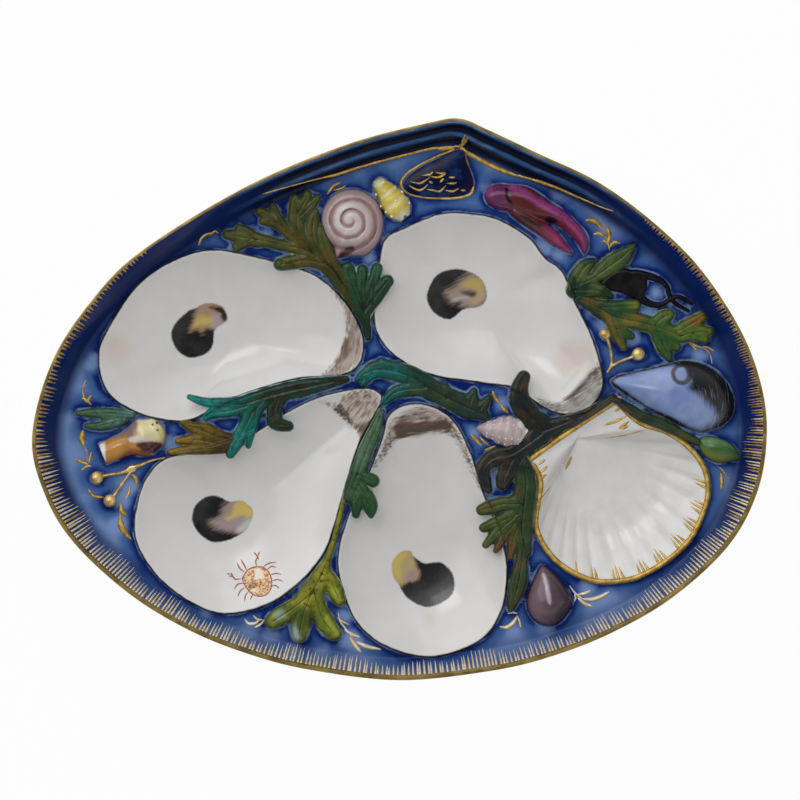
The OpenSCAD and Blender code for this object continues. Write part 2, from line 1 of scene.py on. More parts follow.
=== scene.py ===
"""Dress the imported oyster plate: glazed porcelain, painted shells and weed, and fired gold."""

import logging
import math
from dataclasses import dataclass
from enum import Enum
from typing import Sequence

import bmesh
import bpy
import numpy as np
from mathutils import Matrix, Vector
from mathutils.bvhtree import BVHTree

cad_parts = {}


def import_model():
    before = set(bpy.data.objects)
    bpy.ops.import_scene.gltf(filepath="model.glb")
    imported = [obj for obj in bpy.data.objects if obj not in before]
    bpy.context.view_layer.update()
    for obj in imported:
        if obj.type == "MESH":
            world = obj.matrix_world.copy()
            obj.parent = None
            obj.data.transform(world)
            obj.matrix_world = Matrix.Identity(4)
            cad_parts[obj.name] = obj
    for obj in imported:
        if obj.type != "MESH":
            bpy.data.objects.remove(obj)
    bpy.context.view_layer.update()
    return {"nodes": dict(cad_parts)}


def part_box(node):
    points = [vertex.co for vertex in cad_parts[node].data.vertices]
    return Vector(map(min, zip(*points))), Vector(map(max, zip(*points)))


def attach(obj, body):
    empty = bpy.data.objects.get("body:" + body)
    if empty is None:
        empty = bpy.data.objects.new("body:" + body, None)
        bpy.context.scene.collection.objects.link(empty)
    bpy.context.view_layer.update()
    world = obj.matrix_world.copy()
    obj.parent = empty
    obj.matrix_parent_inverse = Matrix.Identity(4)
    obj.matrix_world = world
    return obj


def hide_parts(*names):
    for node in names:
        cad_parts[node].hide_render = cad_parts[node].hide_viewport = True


MM = 0.001
TURN = 2 * math.pi
TINY = 1e-18
SEAT_GAP = 0.3 * MM
LIP_FOOT = 0.3 * MM
BEDDED = 0.05 * MM
LOG = logging.getLogger("oyster_plate")
PAINT_STEPS = 6
Spots = Sequence[tuple[float, ...]]
Socket = bpy.types.NodeSocket
Piece = bpy.types.Object
Shape = bmesh.types.BMesh


def smooth(value: np.ndarray | float) -> np.ndarray | float:
    """Ease from 0 to 1 with level ends."""
    share = np.clip(value, 0.0, 1.0)
    return share * share * (3 - 2 * share)


def curve(points: Spots, steps: int, closed: bool) -> np.ndarray:
    """Run a smooth curve through given points.

    Args:
        points: The points, with any number of columns.
        steps: How many samples each span gets.
        closed: Whether the curve comes back to its start.

    Returns:
        The samples, one row each.
    """
    fixed = np.asarray(points, float)
    count = len(fixed)
    spans = count if closed else count - 1
    shares = (np.arange(steps) / steps)[:, None]
    rows = []
    for i in range(spans):
        reach = [(i + k) % count if closed else min(max(i + k, 0), count - 1) for k in (-1, 0, 1, 2)]
        a, b, c, d = fixed[reach]
        bend = (a - 2.5 * b + 2 * c - d / 2) * shares ** 2 + (1.5 * (b - c) + (d - a) / 2) * shares ** 3
        rows.append(b + (c - a) * shares / 2 + bend)
    if not closed:
        rows.append(fixed[-1:])
    return np.vstack(rows)


def outline_distance(points: np.ndarray, ring: np.ndarray) -> np.ndarray:
    """Measure points against a closed outline.

    Args:
        points: Places seen from above, one row each.
        ring: The outline's corners.

    Returns:
        Distances to the outline, negative inside it.
    """
    nearest = np.full(len(points), np.inf)
    inside = np.zeros(len(points), bool)
    for start, end in zip(ring, np.roll(ring, -1, axis=0)):
        along = end - start
        share = np.clip(((points - start) @ along) / max(along @ along, TINY), 0, 1)
        nearest = np.minimum(nearest, ((points - start - share[:, None] * along) ** 2).sum(1))
        if start[1] != end[1]:
            level = (points[:, 1] - start[1]) / along[1]
            crosses = (start[1] > points[:, 1]) != (end[1] > points[:, 1])
            inside ^= crosses & (points[:, 0] < start[0] + level * along[0])
    return np.sqrt(nearest) * np.where(inside, -1, 1)


def srgb(code: str) -> tuple[float, float, float, float]:
    """Turn a hex colour into the linear colour that a shader takes."""
    parts = [int(code[i:i + 2], 16) / 255 for i in (1, 3, 5)]
    return (*[c / 12.92 if c <= 0.04045 else ((c + 0.055) / 1.055) ** 2.4 for c in parts], 1.0)


@dataclass(frozen=True)
class Layout:
    """Maps the view from above, in its pixels, to metres in the part's frame."""

    width: float
    depth: float
    base: float
    floor: float
    lip: float
    rim: float
    middle_px: tuple[float, float] = (399.5, 399.5)
    reach_px: tuple[float, float] = (735.0, 561.0)

    @classmethod
    def from_frame(cls) -> "Layout":
        """Read the plate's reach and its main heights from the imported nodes."""
        low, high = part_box("plate_body")
        field_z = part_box("moon_snail")[0].z
        lip_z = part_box("oyster_well_front")[1].z
        return cls(high.x - low.x, high.y - low.y, low.z, field_z, lip_z, high.z)

    def spots(self, pixels: Spots | np.ndarray) -> np.ndarray:
        """Turn rows of pixels into places seen from above."""
        px = np.asarray(pixels, float)
        x = (px[:, 0] - self.middle_px[0]) * self.width / self.reach_px[0]
        y = (self.middle_px[1] - px[:, 1]) * self.depth / self.reach_px[1]
        return np.stack([x, y], axis=1)

    def span(self, px: np.ndarray | float) -> np.ndarray | float:
        """Turn a length in pixels into metres."""
        return px * (self.width / self.reach_px[0] + self.depth / self.reach_px[1]) / 2

    def outside(self, places: np.ndarray, pixels: Spots) -> np.ndarray:
        """Give how far places lie outside a painted outline, in millimetres."""
        return outline_distance(places, self.ring(pixels, PAINT_STEPS)) / MM

    def ring(self, pixels: Spots, steps: int) -> np.ndarray:
        """Give a closed outline as places, turning left as seen from above."""
        ring = self.spots(curve(pixels, steps, True))
        ahead = np.roll(ring, -1, axis=0)
        area = (ring[:, 0] * ahead[:, 1] - ring[:, 1] * ahead[:, 0]).sum()
        return ring if area > 0 else ring[::-1]


def raise_ring(ring: np.ndarray, height: np.ndarray | float) -> np.ndarray:
    """Give a ring of places one height, or a height each."""
    return np.column_stack([ring, np.broadcast_to(height, len(ring))])


def grown(ring: np.ndarray, reach: float) -> np.ndarray:
    """Move a ring out along its own normals."""
    along = np.roll(ring, -1, axis=0) - np.roll(ring, 1, axis=0)
    along /= np.linalg.norm(along, axis=1)[:, None]
    return ring + np.column_stack([along[:, 1], -along[:, 0]]) * reach


def drawn_in(ring: np.ndarray, reach: np.ndarray | float) -> np.ndarray:
    """Move a ring towards the plate's middle."""
    return ring - ring / np.linalg.norm(ring, axis=1)[:, None] * np.broadcast_to(reach, len(ring))[:, None]


class Loft:
    """A mesh that grows from one loop of edges, extruded from ring to ring."""

    def __init__(self, first: np.ndarray, mesh: Shape | None = None, **paint: float) -> None:
        """Start the loop at a ring of points, in a new mesh or in one that is there."""
        self.mesh = bmesh.new() if mesh is None else mesh
        for name in paint:
            if name not in self.mesh.verts.layers.float:
                self.mesh.verts.layers.float.new(name)
        self.ring = [self.mesh.verts.new(point) for point in first]
        self.loop = [self.mesh.edges.new((self.ring[i - 1], self.ring[i])) for i in range(len(first))]
        self.first = list(self.loop)
        self.mark(paint)

    def mark(self, paint: dict[str, np.ndarray | float]) -> None:
        """Write painted values on the last ring."""
        for name, value in paint.items():
            layer = self.mesh.verts.layers.float[name]
            for vert, amount in zip(self.ring, np.broadcast_to(value, len(self.ring))):
                vert[layer] = amount

    def to(self, points: np.ndarray, **paint: np.ndarray | float) -> "Loft":
        """Extrude the last loop to a new ring of as many points."""
        made = bmesh.ops.extrude_edge_only(self.mesh, edges=self.loop)["geom"]
        fresh = {item for item in made if isinstance(item, bmesh.types.BMVert)}
        ring = [next(e.other_vert(v) for e in v.link_edges if e.other_vert(v) in fresh) for v in self.ring]
        for vert, point in zip(ring, points):
            vert.co = point
        edges = (item for item in made if isinstance(item, bmesh.types.BMEdge))
        self.loop = [e for e in edges if e.verts[0] in fresh and e.verts[1] in fresh]
        self.ring = ring
        self.mark(paint)
        return self

    def through(self, rings: Sequence[np.ndarray]) -> "Loft":
        """Extrude the last loop through more rings, one after another."""
        for ring in rings:
            self.to(ring)
        return self

    def close(self) -> "Loft":
        """Join the last loop to the first."""
        bmesh.ops.bridge_loops(self.mesh, edges=self.first + self.loop)
        return self

    def cap_first(self) -> "Loft":
        """Close the first ring with one face."""
        bmesh.ops.edgeloop_fill(self.mesh, edges=self.first)
        return self

    def cap_last(self) -> "Loft":
        """Close the last ring with one face."""
        bmesh.ops.edgeloop_fill(self.mesh, edges=self.loop)
        return self

    def gather(self, point: Sequence[float], **paint: float) -> "Loft":
        """Extrude the last loop and gather it in one point."""
        self.to(np.tile(np.asarray(point, float), (len(self.ring), 1)), **paint)
        bmesh.ops.pointmerge(self.mesh, verts=self.ring, merge_co=Vector(point))
        return self


def cut_below(mesh: Shape, height: float) -> None:
    """Cut away what lies below a height and close the mesh there."""
    everything = [*mesh.verts, *mesh.edges, *mesh.faces]
    bmesh.ops.bisect_plane(mesh, geom=everything, plane_co=(0, 0, height), plane_no=(0, 0, 1),
                           clear_inner=True)
    bmesh.ops.holes_fill(mesh, edges=[e for e in mesh.edges if e.is_boundary])


def lip_rings(layout: Layout, ring: np.ndarray, wide: float, over: float) -> list[tuple[float, np.ndarray]]:
    """Round a well's lip up from the field.

    Args:
        layout: The plate's heights.
        ring: The well's outline.
        wide: The lip's width.
        over: The share of a half turn at which the lip ends.

    Returns:
        How far in from the outline each ring lies, and the ring.
    """
    start = layout.floor + LIP_FOOT
    turns = np.linspace(0.1, over, 6) * math.pi
    reaches = [wide * (1 - math.cos(turn)) / 2 for turn in turns]
    heights = [start + (layout.lip - start) * math.sin(turn) ** 0.6 for turn in turns]
    return [(reach, raise_ring(grown(ring, -reach), z)) for reach, z in zip(reaches, heights)]


def add_piece(name: str, mesh: Shape, finish: "Finish", slot: str, *nodes: str) -> Piece:
    """Make a finished object of a mesh and set it in the frame.

    Args:
        name: The piece's name.
        mesh: Its shape, which is used up.
        finish: What it is dressed in.
        slot: The material slot; not used.
        nodes: The CAD nodes that it stands for.

    Returns:
        The new object, at the origin.
    """
    bmesh.ops.recalc_face_normals(mesh, faces=mesh.faces)
    data = bpy.data.meshes.new(name)
    mesh.to_mesh(data)
    mesh.free()
    data.shade_smooth()
    data.materials.append(finish.material())
    piece = bpy.data.objects.new(name, data)
    bpy.context.scene.collection.objects.link(piece)
    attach(piece, "root")
    if nodes:
        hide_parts(*nodes)
    LOG.info("%s: %d faces, %s", name, len(data.polygons), ", ".join(nodes) or "painted")
    return piece


def corners(piece: Piece) -> np.ndarray:
    """Give the places of a piece's vertices."""
    flat = np.empty(len(piece.data.vertices) * 3)
    piece.data.vertices.foreach_get("co", flat)
    return flat.reshape(-1, 3)


def paint(piece: Piece, name: str, values: np.ndarray) -> None:
    """Keep one painted value for each vertex of a piece."""
    layer = piece.data.attributes.get(name) or piece.data.attributes.new(name, "FLOAT", "POINT")
    layer.data.foreach_set("value", np.ascontiguousarray(values, np.float32))


class Wiring:
    """Adds nodes to one shader tree and joins them."""

    def __init__(self, tree: bpy.types.NodeTree) -> None:
        """Work on a tree."""
        self.tree = tree

    def add(self, kind: str, inputs: dict | None = None, **settings: object) -> bpy.types.Node:
        """Add a node, with its settings, and its inputs as values or as sockets to join."""
        node = self.tree.nodes.new(kind)
        for key, value in settings.items():
            setattr(node, key, value)
        for key, value in (inputs or {}).items():
            if isinstance(value, Socket):
                self.link(value, node.inputs[key])
            else:
                node.inputs[key].default_value = value
        return node

    def link(self, socket: Socket, into: Socket) -> None:
        """Join an output to an input."""
        self.tree.links.new(socket, into)

    def place(self) -> Socket:
        """Give the place on the piece, in metres."""
        return self.add("ShaderNodeTexCoord").outputs["Object"]

    def paint(self, name: str) -> Socket:
        """Give one of the piece's painted values."""
        return self.add("ShaderNodeAttribute", attribute_name=name).outputs["Fac"]

    def noise(self, grain: float, detail: float = 3.0) -> Socket:
        """Give even noise whose grain is a length in millimetres."""
        scale = 1 / (grain * MM)
        node = self.add("ShaderNodeTexNoise", {"Vector": self.place(), "Scale": scale, "Detail": detail})
        return node.outputs["Fac"]

    def streaks(self, bearing: float, length: float, width: float) -> Socket:
        """Give noise drawn out like brush strokes, at a bearing in degrees and sizes in millimetres."""
        size = (length * MM, width * MM, width * MM)
        turn = (0, 0, math.radians(bearing))
        inputs = {"Vector": self.place(), "Scale": size, "Rotation": turn}
        turned = self.add("ShaderNodeMapping", inputs, vector_type="TEXTURE")
        noise = self.add("ShaderNodeTexNoise", {"Vector": turned.outputs[0], "Scale": 1.0, "Detail": 4.0})
        return noise.outputs["Fac"]

    def ramp(self, value: Socket, low: float, high: float, start: float = 0.0,
             end: float = 1.0) -> Socket:
        """Ease from start to end while a value goes from low to high."""
        inputs = {"Value": value, "From Min": low, "From Max": high, "To Min": start, "To Max": end}
        return self.add("ShaderNodeMapRange", inputs, interpolation_type="SMOOTHSTEP").outputs["Result"]

    def math(self, operation: str, first: Socket | float, second: Socket | float = 0.0) -> Socket:
        """Work out one sum of two values."""
        return self.add("ShaderNodeMath", {0: first, 1: second}, operation=operation).outputs[0]

    def stirred(self, value: Socket, noise: Socket, amount: float) -> Socket:
        """Shift a value up and down by noise."""
        shift = self.add("ShaderNodeMapRange", {"Value": noise, "To Min": -amount, "To Max": amount})
        return self.math("ADD", value, shift.outputs["Result"])

    def frayed(self, name: str, noise: Socket, amount: float) -> Socket:
        """Give a painted value with its edges broken up by noise."""
        return self.stirred(self.paint(name), noise, amount)

    def times(self, first: Socket | float, second: Socket | float) -> Socket:
        """Multiply two values."""
        return self.math("MULTIPLY", first, second)

    def mix(self, share: Socket | float, under: Socket | str, over: Socket | str) -> Socket:
        """Lay one colour over another, each a socket or a hex colour."""
        under, over = (srgb(colour) if isinstance(colour, str) else colour for colour in (under, over))
        return self.add("ShaderNodeMix", {0: share, 6: under, 7: over}, data_type="RGBA").outputs[2]


def glaze_group() -> bpy.types.NodeTree:
    """Build the shared glaze effect once: a colour that drifts a little, and the glaze's gentle dimpling."""
    found = bpy.data.node_groups.get("fired_glaze")
    if found:
        return found
    group = bpy.data.node_groups.new("fired_glaze", "ShaderNodeTree")
    for way, names in (("INPUT", ("Colour", "Drift")), ("OUTPUT", ("Colour", "Roughness", "Height"))):
        for name in names:
            kind = "NodeSocketColor" if name == "Colour" else "NodeSocketFloat"
            group.interface.new_socket(name, in_out=way, socket_type=kind)
    wire = Wiring(group)
    given = wire.add("NodeGroupInput")
    cloud = wire.noise(5.0, 5.0)
    low = wire.math("SUBTRACT", 1.0, given.outputs["Drift"])
    high = wire.math("ADD", 1.0, given.outputs["Drift"])
    inputs = {"Value": cloud, "From Min": 0.3, "From Max": 0.7, "To Min": low, "To Max": high}
    lift = wire.add("ShaderNodeMapRange", inputs).outputs[0]
    drifted = wire.add("ShaderNodeHueSaturation", {"Color": given.outputs["Colour"], "Value": lift})
    gloss = wire.ramp(wire.noise(9.0), 0.35, 0.65, 0.15, 0.24)
    wire.add("NodeGroupOutput", {"Colour": drifted.outputs[0], "Roughness": gloss, "Height": wire.noise(3.5)})
    return group


@dataclass(frozen=True)
class Patch:
    """One painted patch: its outline, its colour, and how far its edge is brushed out and broken up."""

    name: str
    outline_px: Spots
    colour: str
    soft: float = 0.4
    stir: float = 0.4

    def keep(self, piece: Piece, layout: Layout) -> None:
        """Keep how far each spot of a piece lies outside the patch, in millimetres."""
        paint(piece, self.name, layout.outside(corners(piece)[:, :2], self.outline_px))

    def over(self, wire: Wiring, ground: Socket | str, noise: Socket) -> Socket:
        """Lay the patch over a colour."""
        edge = wire.frayed(self.name, noise, self.stir)
        return wire.mix(wire.ramp(edge, -self.soft, self.soft, 1.0, 0.0), ground, self.colour)


@dataclass(frozen=True)
class Finish:
    """A glazed finish; each kind works out its own colour and relief."""

    name: str
    drift: float = 0.1
    dimple: float = 0.05
    shine: float = 0.4
    coat: float = 0.25
    coat_rough: float = 0.06
    patches: tuple[Patch, ...] = ()

    def keep(self, piece: Piece, layout: Layout) -> None:
        """Keep where the finish's patches lie on a piece."""
        for patch in self.patches:
            patch.keep(piece, layout)

    def painted(self, wire: Wiring, ground: Socket | str, noise: Socket) -> Socket | str:
        """Lay the patches over a colour, one after another."""
        for patch in self.patches:
            ground = patch.over(wire, ground, noise)
        return ground

    def colour(self, wire: Wiring) -> Socket:
        """Give the colour all over the piece."""
        raise NotImplementedError

    def relief(self, wire: Wiring) -> Socket | None:
        """Give the height of the painted relief in millimetres, if there is any."""
        return None

    def material(self) -> bpy.types.Material:
        """Make the finish's material once."""
        made = bpy.data.materials.get(self.name)
        if made is None:
            made = bpy.data.materials.new(self.name)
            made.use_nodes = True
            self.wire_up(Wiring(made.node_tree), made.node_tree.nodes["Principled BSDF"].inputs)
        return made

    def wire_up(self, wire: Wiring, shader: bpy.types.NodeInputs) -> None:
        """Join the colour and the relief to the shader, through the shared glaze."""
        glaze = wire.add("ShaderNodeGroup", node_tree=glaze_group())
        wire.link(self.colour(wire), glaze.inputs["Colour"])
        glaze.inputs["Drift"].default_value = self.drift
        height = wire.times(glaze.outputs["Height"], self.dimple)
        relief = self.relief(wire)
        if relief is not None:
            height = wire.math("ADD", height, relief)
        bump = wire.add("ShaderNodeBump", {"Height": height, "Distance": MM, "Strength": 1.0})
        wire.link(glaze.outputs["Colour"], shader["Base Color"])
        wire.link(glaze.outputs["Roughness"], shader["Roughness"])
        wire.link(bump.outputs[0], shader["Normal"])
        shader["Specular IOR Level"].default_value = self.shine
        shader["Coat Weight"].default_value = self.coat
        shader["Coat Roughness"].default_value = self.coat_rough


@dataclass(frozen=True)
class FiredGold(Finish):
    """Gold fired on the glaze, a little worn and brushed."""

    light: str = "#ab9150"
    deep: str = "#72602f"
    metal: float = 0.6
    grain: float = 5.0
    brush_deep: float = 0.05 * MM

    def wire_up(self, wire: Wiring, shader: bpy.types.NodeInputs) -> None:
        """Join the worn gold and its brush marks to the shader."""
        worn = wire.noise(self.grain, 5.0)
        wire.link(wire.mix(wire.ramp(worn, 0.3, 0.7), self.deep, self.light), shader["Base Color"])
        wire.link(wire.ramp(wire.noise(1.5), 0.3, 0.7, 0.28, 0.42), shader["Roughness"])
        marks = {"Height": wire.noise(0.9), "Distance": self.brush_deep, "Strength": 0.5}
        wire.link(wire.add("ShaderNodeBump", marks).outputs[0], shader["Normal"])
        shader["Metallic"].default_value = self.metal


@dataclass(frozen=True)
class CobaltGlaze(Finish):
    """The blue ground: pale where it lies thin, dark where it pools, with painted shade in the cove and a
    painted highlight on the hinge ridges.
    """

    pale: str = "#7d98c8"
    mid: str = "#3f609a"
    deep: str = "#07226a"
    navy: str = "#041a50"
    groove: str = "#060c24"
    ridge: str = "#345a8c"
    glint: str = "#86a2c8"
    white: str = "#e9e8e4"
    drift: float = 0.05
    shine: float = 0.14
    coat: float = 0.0

    def colour(self, wire: Wiring) -> Socket:
        """Mix the blues by how far the glaze is from what it pools against."""
        cloud = wire.noise(14.0, 4.0)
        fine = wire.noise(3.0, 4.0)
        near = wire.stirred(wire.frayed("pool", cloud, 2.2), fine, 0.7)
        ground = wire.mix(wire.ramp(near, 0.3, 2.6), self.deep, self.mid)
        ground = wire.mix(wire.ramp(near, 2.2, 6.5, 0.0, 0.75), ground, self.pale)
        thin = wire.frayed("thin", fine, 1.6)
        ground = wire.mix(wire.ramp(thin, -1.6, 1.4, 0.85, 0.0), ground, self.pale)
        brim = wire.frayed("pool", fine, 0.4)
        broken = wire.times(wire.ramp(brim, 0.1, 0.6, 0.8, 0.0), wire.ramp(wire.noise(5.0), 0.38, 0.6))
        ground = wire.mix(broken, ground, self.pale)
        # Navy and deep blue in the cove near the edge: glaze pooled in the cove and painted shade, weighted
        # by the shade value, weaker along the front.
        edge = wire.frayed("edge", cloud, 1.2)
        dark = wire.times(wire.ramp(edge, 6.4, 10.5, 0.95, 0.0), wire.paint("shade"))
        ground = wire.mix(dark, ground, self.navy)
        dark = wire.times(wire.ramp(edge, 2.6, 5.0, 0.7, 0.0), wire.paint("shade"))
        ground = wire.mix(dark, ground, self.deep)
        # Hinge mouldings: darker in the grooves, lighter on the ridges, with a painted highlight (glint)
        # along the ridge crests.
        wash = wire.streaks(12.0, 30.0, 3.0)
        ridge = wire.frayed("ridge", wash, 0.5)
        hinge = wire.mix(wire.ramp(ridge, -0.2, 1.0), self.groove, self.ridge)
        crest_highlight = wire.times(wire.ramp(ridge, 0.75, 1.1), wire.ramp(wire.noise(9.0), 0.45, 0.62, 0.0, 0.45))
        ground = wire.mix(wire.paint("hinge"), ground, wire.mix(crest_highlight, hinge, self.glint))
        return wire.mix(wire.paint("under"), ground, self.white)


class Plate:
    """The pressed blank, its foot and its gilt edge."""

    outline_px = (
        (767, 432), (760, 380), (739, 327), (698, 266), (648, 218), (596, 181), (541, 155), (488, 130),
        (460, 119), (429, 123), (346, 145), (246, 187), (143, 250), (93, 299), (52, 362), (32, 437),
        (45, 495), (75, 544), (131, 595), (191, 631), (252, 655), (312, 670), (400, 680), (489, 671),
        (549, 657), (611, 633), (673, 597), (729, 545), (758, 490))
    steps = 16
    land, cove, side_cove, hinge_cove, roll = 1.0 * MM, 6.6 * MM, 8.2 * MM, 8.2 * MM, 0.45
    front_from, front_to = -25 * MM, -70 * MM
    edge_round, edge_thick = 0.4 * MM, 2.0 * MM
    ridge_high, ridge_pitch, ridge_fade = 0.6 * MM, 0.5, 0.2
    flare, flare_power = 24 * MM, 3
    hinge_from, hinge_to, hinge_fade = 30.0, 138.0, 28.0
    field_step, flare_rows, cove_rows = 0.95 * MM, 22, 30
    pool_far, front_shade = 20.0, 0.6
    pocket_in, pocket_share, pocket_wall, pocket_floor = 0.5 * MM, 0.62, 8.9 * MM, 3.7 * MM
    foot_in, foot_wide, foot_round = 30 * MM, 4 * MM, 0.5 * MM
    gilt_wide, gilt_side_wide, gilt_hinge_wide, gilt_thick = 1.6 * MM, 0.9 * MM, 0.85 * MM, 0.1 * MM
    thin_px = (
        (657, 293, 7), (604, 325, 7), (648, 314, 8), (633, 338, 7), (485, 187, 5), (560, 254, 7),
        (168, 443, 7), (270, 637, 8), (345, 616, 7), (326, 616, 5), (502, 403, 6), (474, 432, 6),
        (494, 482, 7), (588, 587, 8), (514, 633, 7), (267, 233, 5), (369, 257, 6), (606, 212, 10),
        (127, 488, 10), (118, 525, 10), (228, 462, 5), (700, 356, 6), (590, 310, 5), (250, 632, 8),
        (292, 652, 8), (322, 652, 7), (350, 641, 11), (545, 628, 9), (610, 601, 11), (206, 612, 6),
        (92, 362, 10), (120, 498, 10), (545, 246, 9), (562, 192, 8), (66, 420, 8))

    def __init__(self, layout: Layout) -> None:
        """Lay out the plate's edge."""
        self.layout = layout
        self.edge = layout.ring(self.outline_px, self.steps)
        self.turns_left = bool(np.allclose(self.edge[0], layout.spots(self.outline_px)[0]))
        bearing = np.degrees(np.arctan2(self.edge[:, 1], self.edge[:, 0]))
        rise = smooth((bearing - self.hinge_from) / self.hinge_fade)
        fall = smooth((self.hinge_to - bearing) / self.hinge_fade)
        self.hinge = np.where(self.edge[:, 1] < 0, 0.0, rise * fall)
        cove = self.side_cove + (self.cove - self.side_cove) * self.front(self.edge)
        self.cove_in = cove + (self.hinge_cove - cove) * self.hinge

    def front(self, spots: np.ndarray) -> np.ndarray:
        """Give 1 along the plate's front and 0 from its sides on back."""
        return smooth((spots[:, 1] - self.front_from) / (self.front_to - self.front_from))

    def ridges(self, share: float) -> float:
        """Give the height of the hinge mouldings at a share of the way down the cove, from -1 to 1."""
        wave = math.cos(TURN * (share - self.ridge_pitch) / self.ridge_pitch)
        return wave * float(smooth((1 - share) / self.ridge_fade))

    def surface(self, reach: np.ndarray | float) -> np.ndarray:
        """Give the ring of the upper surface at a distance in from the edge."""
        ring = drawn_in(self.edge, reach)
        reach = np.broadcast_to(reach, len(ring))
        rim, floor = self.layout.rim, self.layout.floor
        share = np.clip((reach - self.land) / (self.cove_in - self.land), 0, 1)
        ridge = np.array([self.ridges(s) for s in share]) * self.ridge_high
        plain = floor + (rim - floor) * ((1 - self.roll) * (1 - share) ** 2 + self.roll * (1 - smooth(share)))
        moulded = rim + (floor - rim) * share + ridge * (share > 0)
        height = plain + (moulded - plain) * self.hinge
        rounded = np.clip(1 - reach / self.edge_round, 0, 1)
        return raise_ring(ring, height - self.edge_round * (1 - np.sqrt(1 - rounded ** 2)))

    def blank(self, wells: Sequence["Well"]) -> Shape:
        """Loft the body from its flat base, out over the flare and the edge, and in across the field."""
        lay = self.layout
        shares = np.linspace(1, 0, self.flare_rows)
        height = lay.base + (lay.rim - self.edge_thick - lay.base) * (1 - shares) ** self.flare_power
        low = {"under": 1.0, "edge": 0.0, "hinge": 0.0, "ridge": 0.0}
        loft = Loft(raise_ring(drawn_in(self.edge, self.flare), height[0]), **low).cap_first()
        for share, z in zip(shares[1:], height[1:]):
            loft.to(raise_ring(drawn_in(self.edge, self.flare * share), z), **low)
        loft.to(raise_ring(self.edge, lay.rim - self.edge_round), under=0.0, edge=0.0)
        for reach in np.linspace(0.1, 1, 4) * self.edge_round:
            loft.to(self.surface(reach), edge=reach / MM)
        for share in np.linspace(0, 1, self.cove_rows):
            reach = self.land + (self.cove_in - self.land) * share
            tone = self.ridges(share) if share > 0 else 1.0
            hinge = self.hinge * smooth((1 - share) / 0.12)
            loft.to(self.surface(reach), edge=reach / MM, ridge=tone, hinge=hinge)
        inner = drawn_in(self.edge, self.cove_in)
        count = int(np.linalg.norm(inner, axis=1).max() / self.field_step)
        for share in np.linspace(1, 0, count)[1:-1]:
            reach = (self.cove_in + np.linalg.norm(inner, axis=1) * (1 - share)) / MM
            loft.to(raise_ring(inner * share, lay.floor), edge=reach, ridge=0.0, hinge=0.0, under=0.0)
        loft.gather((0, 0, lay.floor), edge=90.0)
        for well in wells:
            self.open_pocket(loft.mesh, well)
        return loft.mesh

    def open_pocket(self, mesh: Shape, well: "Well") -> None:
        """Cut the field away under a well and sink a tapered pocket there."""
        ring = grown(well.ring, -self.pocket_in)
        level = [f for f in mesh.faces if abs(f.calc_center_median().z - self.layout.floor) < 1e-6]
        centres = np.array([f.calc_center_median()[:2] for f in level])
        inside = outline_distance(centres, ring) < 0
        lost = [f for f, hit in zip(level, inside) if hit]
        bmesh.ops.delete(mesh, geom=lost, context="FACES")
        brink = [e for e in mesh.edges if e.is_boundary]
        for share, z in ((1.0, self.pocket_wall), (self.pocket_share, self.pocket_floor)):
            made = bmesh.ops.extrude_edge_only(mesh, edges=brink)["geom"]
            for vert in (item for item in made if isinstance(item, bmesh.types.BMVert)):
                spot = well.middle + (np.array(vert.co[:2]) - well.middle) * share
                vert.co = (*spot, z)
            brink = [e for e in made if isinstance(e, bmesh.types.BMEdge) and e.is_boundary]
        bmesh.ops.holes_fill(mesh, edges=brink)

    def build(self, wells: Sequence["Well"], relief: Sequence["Footprint"], gold: FiredGold) -> Piece:
        """Make the body, the foot and the gilt edge.

        Args:
            wells: The wells that are sunk in the body.
            relief: Everything that the blue glaze pools against.
            gold: The finish of the gilding.

        Returns:
            The body, for the gold strokes to lie on.
        """
        glaze = CobaltGlaze("cobalt_ground")
        body = add_piece("plate_blank", self.blank(wells), glaze, "cobalt_glaze", "plate_body")
        places = corners(body)
        on_top = places[:, 2] > self.layout.floor - 0.2 * MM
        pool = np.full(len(places), self.pool_far)
        for footprint in relief:
            pool[on_top] = np.minimum(pool[on_top], footprint.reach(places[on_top, :2]) / MM)
        paint(body, "pool", pool)
        # How strong the painted shade in the cove is: full at the sides and back, weaker along the front.
        paint(body, "shade", 1 - self.front_shade * self.front(places))
        sizes = self.layout.span(np.array(self.thin_px)[:, 2])
        away = np.linalg.norm(places[:, None, :2] - self.layout.spots(self.thin_px)[None], axis=2) - sizes
        paint(body, "thin", away.min(axis=1) / MM)
        self.foot()
        self.gilt(gold)
        return body

    def foot(self) -> None:
        """Turn up the foot ring, with its tread rounded."""
        outer, inner = self.foot_in, self.foot_in + self.foot_wide
        base, tread = self.layout.base, self.foot_round
        rows = ((outer, base), (outer, tread), (outer + tread * 0.3, tread * 0.3), (outer + tread, 0.0),
                (inner - tread, 0.0), (inner - tread * 0.3, tread * 0.3), (inner, tread), (inner, base))
        rings = [raise_ring(drawn_in(self.edge, reach), z) for reach, z in rows]
        loft = Loft(rings[0]).through(rings[1:]).close()
        add_piece("foot_tread", loft.mesh, BareClay("foot_clay"), "bare_foot", "foot_ring")

    def gilt_reach(self) -> np.ndarray:
        """Give the gilt band's width round the edge: broad in front, and fine along the hinge."""
        front = smooth((20 * MM - self.edge[:, 1]) / (70 * MM))
        wide = self.gilt_side_wide + (self.gilt_wide - self.gilt_side_wide) * front
        return wide + (self.gilt_hinge_wide - wide) * self.hinge

